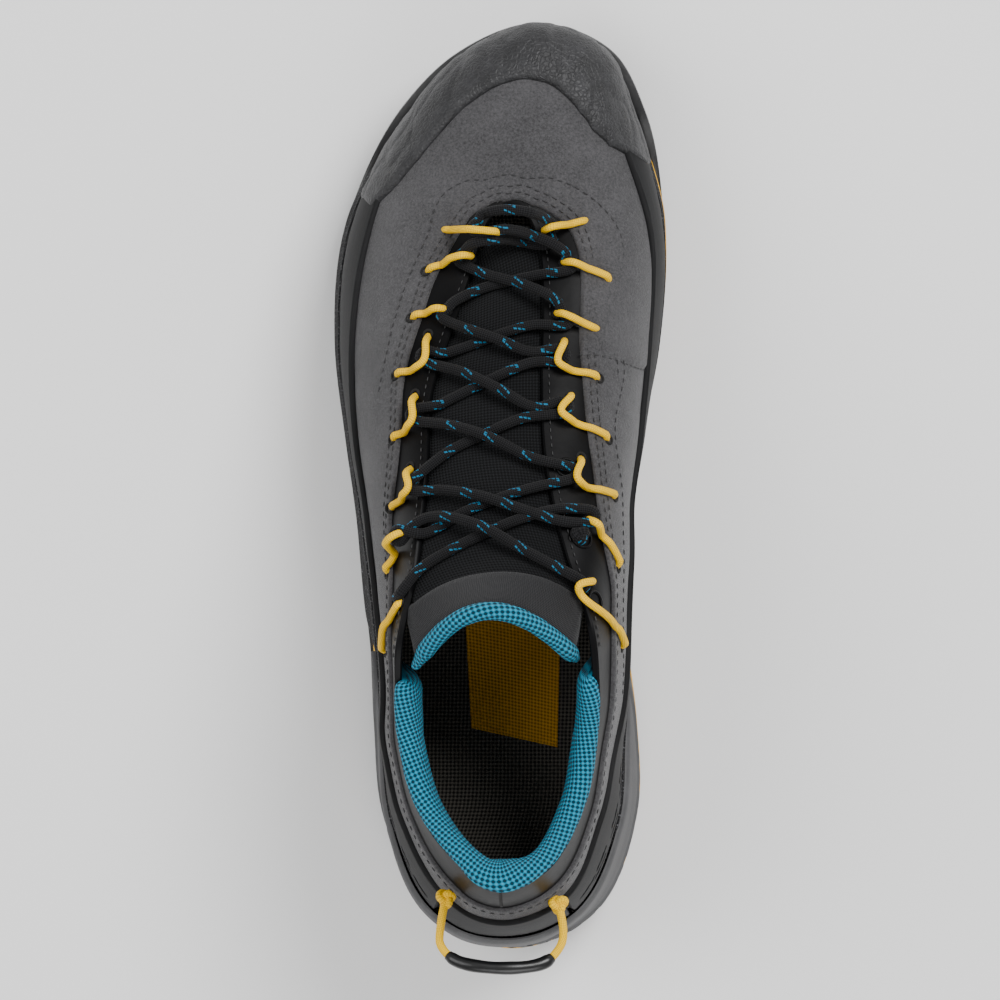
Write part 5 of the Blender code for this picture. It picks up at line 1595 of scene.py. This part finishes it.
LACE_START = (120, 594)
LACE_KNOT = (303, 532)
LACE_PARTS = (
    LacePart((319, 513), Side.MEDIAL, False, ((144, 565), (185, 541), (222, 524), (251, 513), (282, 506))),
    LacePart((130, 482), Side.LATERAL, True, ((285, 518), (251, 508), (205, 493), (166, 487))),
    LacePart((292, 404), Side.MEDIAL, False, ((156, 460), (176, 446), (210, 430), (246, 415))),
    LacePart((143, 354), Side.LATERAL, True, ((256, 404), (222, 386), (185, 369))),
    LacePart((293, 317), Side.MEDIAL, False, ((171, 350), (227, 330), (258, 322))),
    LacePart((180, 256), Side.LATERAL, True, ((277, 296), (246, 282), (210, 272))),
    LacePart((276, 236), Side.MEDIAL, False, ((197, 242), (229, 238), (258, 242))),
    LacePart((195, 226), Side.LATERAL, False, ((276, 224), (265, 216), (245, 208), (224, 207), (205, 214))),
    LacePart((296, 262), Side.MEDIAL, True, ((234, 229), (268, 238), (288, 250))),
    LacePart((163, 312), Side.LATERAL, False, ((258, 273), (210, 284), (180, 297))),
    LacePart((289, 352), Side.MEDIAL, True, ((190, 326), (222, 337), (253, 349))),
    LacePart((133, 412), Side.LATERAL, False, ((253, 360), (219, 374), (190, 388), (161, 402))),
    LacePart((300, 470), Side.MEDIAL, True, ((173, 422), (210, 433), (253, 454))),
    LacePart((117, 532), Side.LATERAL, False, ((258, 484), (222, 495), (185, 510), (149, 530))),
    LacePart((309, 582), Side.MEDIAL, True, ((140, 519), (166, 513), (205, 523), (246, 546), (282, 565))),
)
LOOPS = {
    Side.MEDIAL: (
        ((310, 216), (267, 230)), ((330, 278), (287, 260)), ((322, 325), (280, 311)),
        ((322, 375), (282, 363), (287, 339)), ((332, 433), (285, 414), (293, 394)),
        ((337, 494), (300, 481), (304, 454)), ((345, 565), (310, 518)),
        ((350, 632), (304, 590), (314, 579)),
    ),
    Side.LATERAL: (
        ((165, 226), (212, 220)), ((147, 266), (194, 256)), ((131, 312), (170, 308)),
        ((116, 371), (147, 363), (151, 331)), ((114, 436), (138, 422), (138, 391)),
        ((110, 505), (136, 490), (133, 464)), ((108, 571), (132, 530)), ((103, 651), (125, 599)),
    ),
}
LOOP_HOLES = {
    Side.MEDIAL: (
        (26.7, 228.3, 61.2), (32.7, 209.0, 64.4), (30.0, 194.3, 72.0), (30.0, 179.0, 77.7),
        (32.9, 160.4, 83.0), (34.3, 143.0, 87.8), (36.5, 121.8, 94.0), (40.5, 97.5, 88.8),
    ),
    Side.LATERAL: (
        (-17.8, 225.3, 62.5), (-23.2, 212.6, 67.0), (-28.0, 198.3, 71.0), (-32.3, 180.2, 75.0),
        (-32.8, 160.4, 81.0), (-33.9, 139.7, 86.0), (-34.6, 119.9, 90.0), (-38.0, 95.8, 85.0),
    ),
}
EMBOSSED_RINGS = ((290, 465), (305, 535), (318, 598))
CAST_HEIGHT = 80.0


class Ground:
    """What a cord lies on: it answers how high the cord's middle rests over a plan position."""

    def __init__(self, pieces: Sequence[bpy.types.Object]) -> None:
        """Builds one search tree over every piece."""
        vertices, polygons = [], []
        for piece in pieces:
            first = len(vertices)
            vertices += [vertex.co for vertex in piece.data.vertices]
            polygons += [[first + v for v in polygon.vertices] for polygon in piece.data.polygons]
        self.tree = BVHTree.FromPolygons(vertices, polygons)

    def hit(self, point: Array, up: Array) -> tuple[Array, Array]:
        """The first surface point met on the way down through a point, and its normal, in drawing mm."""
        start = Vector((point + up * 60.0 - DRAWN_ORIGIN) * MM)
        found, normal, _, _ = self.tree.ray_cast(start, Vector(-up))
        if found is None:
            return point - up * 5.0, up
        normal = np.array(normal)
        return np.array(found) / MM + DRAWN_ORIGIN, normal * np.sign(normal @ up)

    def height(self, x: float, y: float) -> float:
        """The highest point under a plan position."""
        return float(self.hit(np.array((x, y, CAST_HEIGHT)), UPWARDS)[0][2])

    def near(self, point: Array) -> tuple[Array, Array]:
        """The nearest point of the surface, and its normal."""
        found, normal, _, _ = self.tree.find_nearest(Vector((point - DRAWN_ORIGIN) * MM))
        return np.array(found) / MM + DRAWN_ORIGIN, np.array(normal)

    def rest(self, point: Array, up: Array, radius: float) -> float:
        """How far up from a point a cord's middle lies when it just touches what is under it."""
        side = unit(np.cross(up, (0.0, 1.0, 0.0)))
        along = np.cross(side, up)
        best = (self.hit(point, up)[0] - point) @ up + radius
        for reach in (0.5, 0.95):
            lift = math.sqrt(1 - reach * reach) * radius
            for turn in np.arange(8) * math.tau / 8:
                beside = point + (side * math.cos(turn) + along * math.sin(turn)) * reach * radius
                best = max(best, (self.hit(beside, up)[0] - point) @ up + lift)
        return float(best)

    def lay(self, route: Array, ups: Array, radius: float, ease: int = 5) -> Array:
        """A route over the ground through points, smoothed but never under it.

        Args:
            route: points (n, 3) near the ground.
            ups: the direction away from the ground at each point.
            radius: the cord's radius in mm.
            ease: how many points to each side the cord bridges.

        Returns:
            The points of the cord's middle (n, 3).
        """
        rises = np.array([self.rest(point, up, radius) for point, up in zip(route, ups)])
        padded = np.pad(rises, ease, mode="edge")
        spread = np.array([padded[i:i + 2 * ease + 1].max() for i in range(len(rises))])
        kernel = np.ones(2 * ease + 1) / (2 * ease + 1)
        soft = np.convolve(np.pad(spread, ease, mode="edge"), kernel, "valid")
        return route + ups * np.maximum(rises, soft - 0.25)[:, None]


def overhand_knot(name: str, at: Sequence, size: float, radius: float,
                  finish: Finish) -> bpy.types.Object:
    """An overhand knot round a point."""
    t = np.linspace(0, math.tau, 61)
    shape = np.stack((np.sin(t) + 2 * np.sin(2 * t), np.cos(t) - 2 * np.cos(2 * t), -np.sin(3 * t)), axis=1)
    return tube(name, shape * size * (1.0, 1.0, 1.3) + at, radius, finish, 10)


@dataclass
class Lacing:
    """The lace, the loops that hold it, the holes and the embossed rings on the stays."""

    ground: Sequence[bpy.types.Object]
    lace_radius: float = 1.6
    loop_radius: float = 1.15
    bend: float = 2.2
    crossing: float = 3.6

    def build(self) -> None:
        """Makes the lace first, since the loops lie over it."""
        ground = Ground(self.ground)
        lace = show(self.lace(ground), "lace_cord", "lace")
        over = Ground([*self.ground, lace])
        holes = []
        for side, group in LOOPS.items():
            for number, pixels in enumerate(group, start=1):
                name = f"side_loop_{side.name.lower()}_{number}"
                hole = LOOP_HOLES[side][number - 1]
                route, ends = self.loop(ground, over, pixels, hole)
                show(tube(name + "_cord", route, self.loop_radius, LOOP_BRAID, 12), "loop_cord", name)
                # A dark ring at each end of the loop: painted shade of the hole it goes through.
                holes += [self.circle(f"{name}_hole_{i}", end, 1.3, 0.45, HOLE_SHADE_AND_SEAM)
                          for i, end in enumerate(ends)]
        show(join("loop_holes", holes), "loop_cord")
        rings = []
        for i, pixel in enumerate(EMBOSSED_RINGS):
            x, y = self.plan(ground, *pixel)
            at = ground.near(np.array((x, y, ground.height(x, y))))
            rings.append(self.circle(f"ring_{i}", at, 3.0, 0.5, FILM))
        show(join("stay_rings", rings), "suede")

    def plan(self, ground: Ground, px: float, py: float) -> tuple[float, float]:
        """The plan position of a pixel, for the height of what it shows."""
        x, y = from_top_view(px, py, 90.0)
        for _ in range(3):
            x, y = from_top_view(px, py, ground.height(x, y))
        return x, y

    def lace(self, ground: Ground) -> bpy.types.Object:
        """The lace from the last lateral loop down to the toe and back up."""
        points = [self.plan(ground, *LACE_START)]
        lifts = [0.0]
        for part in LACE_PARTS:
            inner = [self.plan(ground, *pixel) for pixel in part.across]
            points += inner
            middle = (len(inner) - 1) / 2
            lifts += [self.crossing * max(0.0, 1 - abs(i - middle) / (middle + 0.8)) * part.over
                      for i in range(len(inner))]
            x, y = self.plan(ground, *part.end)
            turn = -self.bend if part.side is Side.MEDIAL else self.bend
            back = 1.0 if points[-1][1] < y else -1.0
            following = [(x + turn, y - 1.9 * back), (x, y), (x + turn, y + 1.9 * back)]
            points += following
            lifts += [0.0, 0.0, 0.0]
        route = even_route(smooth_route(np.column_stack((np.array(points), lifts)), 6), 0.9)
        flat = np.column_stack((route[:, :2], np.full(len(route), CAST_HEIGHT)))
        laid = ground.lay(flat, np.tile(UPWARDS, (len(flat), 1)), self.lace_radius)
        laid[:, 2] += route[:, 2]
        log.info("lace: %.0f mm along its route", route_length(laid))
        laid[:3, 2] -= (3.0, 1.6, 0.5)
        laid[-3:, 2] -= (0.5, 1.6, 3.0)
        x, y = self.plan(ground, *LACE_KNOT)
        knot = overhand_knot("lace_knot", (x, y, ground.height(x, y) + 1.8), 0.62, 1.35, LACE_BRAID)
        return join("lace_cord", [tube("lace_run", laid, self.lace_radius, LACE_BRAID, 14), knot])

    def loop(self, ground: Ground, over: Ground, pixels: tuple, hole: tuple) -> tuple[Array, list]:
        """One holding loop, out of one hole, over the lace, and into the next.

        Args:
            ground: what the holes are in.
            over: the same with the lace on it.
            pixels: the loop's inner points in the top view, from the hole on.
            hole: the hole in the suede.

        Returns:
            The cord's middle line, and a point and a normal for each hole.
        """
        inner = [self.plan(ground, *pixel) for pixel in pixels[1:]]
        points = [np.array(hole), *(np.array((x, y, ground.height(x, y))) for x, y in inner)]
        found = [ground.near(point) for point in points]
        ways = np.stack([way if way[2] > 0 else UPWARDS for _, way in found])
        ways[1:] = UPWARDS * 0.6 + ways[1:] * 0.4
        both = np.column_stack((np.stack([point for point, _ in found]), ways))
        route = even_route(smooth_route(both, 10), 0.6)
        ups = unit(route[:, 3:])
        laid = over.lay(route[:, :3], ups, self.loop_radius, 2)
        fall = np.clip(1 - np.arange(len(laid)) / 4.0, 0, 1) ** 1.6
        laid -= ups * (3.2 * (fall + fall[::-1]))[:, None]
        return laid, [found[0], found[-1]]

    def circle(self, name: str, at: tuple, width: float, thickness: float,
               finish: Finish) -> bpy.types.Object:
        """A ring that lies on the surface round a point."""
        point, way = at
        side = unit(np.cross(way, (0.0, 1.0, 0.0)))
        along = np.cross(side, way)
        turns = np.linspace(0, math.tau, 25)[:, None]
        ring = point + (side * np.cos(turns) + along * np.sin(turns)) * width + way * 0.05
        return tube(name, ring, thickness, finish, 8)


@dataclass
class PullLoop:
    """The cord loop behind the heel, knotted at both ends, with a sleeve on its middle."""

    radius: float = 1.25
    sleeve: float = 1.95
    place: float = 1.75
    seat: float = 91.0
    route: tuple = (
        (19.0, 12.5, 95.5), (17.5, 7.5, 99.5), (12.0, 3.4, 103.0), (0.0, 2.4, 104.5),
        (-12.0, 4.0, 103.0), (-17.5, 8.2, 99.5), (-18.0, 13.0, 95.5),
    )

    def build(self) -> None:
        """Makes the cord with its knots, and the sleeve."""
        seats = np.array((self.place, ROWS_ROUND - self.place))
        near = LAST.at_height(seats, np.full(2, self.seat), 0.8)
        out = LAST.at_height(seats, np.full(2, self.seat), 4.0)
        line = smooth_route([near[0], out[0], *self.route, out[1], near[1]], 8)
        log.info("pull loop: %.0f mm along its route", route_length(line))
        cord = tube("pull_cord", even_route(line, 1.0), self.radius, LOOP_BRAID, 12)
        knots = [overhand_knot(f"pull_knot_{i}", out[i] + (0, 0.4, 0), 0.72, self.radius * 0.95, LOOP_BRAID)
                 for i in range(2)]
        show(join("pull_cord_knotted", [cord, *knots]), "loop_cord", "pull_loop")
        show(self.make_sleeve(line), "sleeve_plastic", "pull_loop_sleeve")

    def make_sleeve(self, line: Array) -> bpy.types.Object:
        """The shrunk tube, a little uneven, closed tight on the cord at both ends."""
        middle = even_route(line[4 * 8 - 4:6 * 8 + 5], 0.6)
        count = len(middle)
        closing = 0.4 * (1 - smooth_step(from_end(count) / 3.0))
        radii = self.sleeve + 0.06 * np.sin(np.arange(count) * 0.35) - closing
        outer = tube_rings(middle, radii, 20).swapaxes(0, 1)
        inner = tube_rings(middle, np.full(count, self.radius + 0.05), 20).swapaxes(0, 1)
        return shell("pull_sleeve", outer, inner, SLEEVE_TUBE, True)


# The studio
@dataclass
class Lamp:
    """One soft area light aimed at the shoe."""

    name: str
    position: tuple[float, float, float]
    size: float
    power: float

    def build(self) -> None:
        """Makes the light."""
        data = bpy.data.lights.new(self.name, "AREA")
        data.shape = "DISK"
        data.size = self.size
        data.energy = self.power
        light = bpy.data.objects.new(self.name, data)
        light.location = self.position
        way = Vector((0, 0, 0.04)) - Vector(self.position)
        light.rotation_euler = way.to_track_quat("-Z", "Y").to_euler()
        bpy.context.scene.collection.objects.link(light)


@dataclass
class Studio:
    """A plain pale floor, soft light and the camera of the photo."""

    floor_size: float = 6.0
    distance: float = 1.5
    view_width: float = 0.3165
    view_centre_y: float = -0.00407
    sensor: float = 36.0
    lamps: tuple = (
        Lamp("key", (0.65, 0.75, 1.3), 0.8, 27.0),
        Lamp("fill", (-0.9, 0.1, 1.1), 1.1, 11.0),
        Lamp("back", (0.2, -1.1, 0.9), 1.0, 9.0),
    )

    def build(self) -> None:
        """Makes floor, world, lights and camera."""
        mesh = bmesh.new()
        bmesh.ops.create_grid(mesh, x_segments=1, y_segments=1, size=self.floor_size)
        data = bpy.data.meshes.new("floor")
        mesh.to_mesh(data)
        mesh.free()
        data.materials.append(self.plain("floor_paint", 0.86))
        floor = bpy.data.objects.new("floor", data)
        bpy.context.scene.collection.objects.link(floor)
        world = bpy.data.worlds.new("room")
        world.use_nodes = True
        background = world.node_tree.nodes["Background"]
        background.inputs["Color"].default_value = (1.0, 1.0, 1.0, 1.0)
        background.inputs["Strength"].default_value = 0.45
        bpy.context.scene.world = world
        for lamp in self.lamps:
            lamp.build()
        self.camera()

    def plain(self, name: str, value: float) -> bpy.types.Material:
        """A matt pale paint."""
        material = bpy.data.materials.new(name)
        material.use_nodes = True
        shader = material.node_tree.nodes["Principled BSDF"]
        shader.inputs["Base Color"].default_value = (value, value, value, 1.0)
        shader.inputs["Roughness"].default_value = 0.95
        shader.inputs["Specular IOR Level"].default_value = 0.1
        return material

    def camera(self) -> None:
        """The camera straight above the shoe, toe up."""
        data = bpy.data.cameras.new("photo")
        data.sensor_width = self.sensor
        data.lens = self.sensor * (self.distance - SCALE_HEIGHT * MM) / self.view_width
        camera = bpy.data.objects.new("photo", data)
        camera.location = (0.0, self.view_centre_y, self.distance)
        bpy.context.scene.collection.objects.link(camera)
        bpy.context.scene.camera = camera


def main() -> None:
    """Builds the shoe from the ground up, then the room round it."""
    logging.basicConfig(level=logging.INFO, format="%(message)s")
    stitcher = Stitcher()
    Sole().build()
    upper = Upper()
    upper.build(stitcher)
    Insole().build()
    Collar().build()
    woven = Tongue().build()
    ground = [bpy.data.objects[name] for name in ("upper_film", "suede_panel", "tongue_pad")]
    Lacing([*ground, woven]).build()
    PullLoop().build()
    Studio().build()


if __name__ == "__main__":
    main()
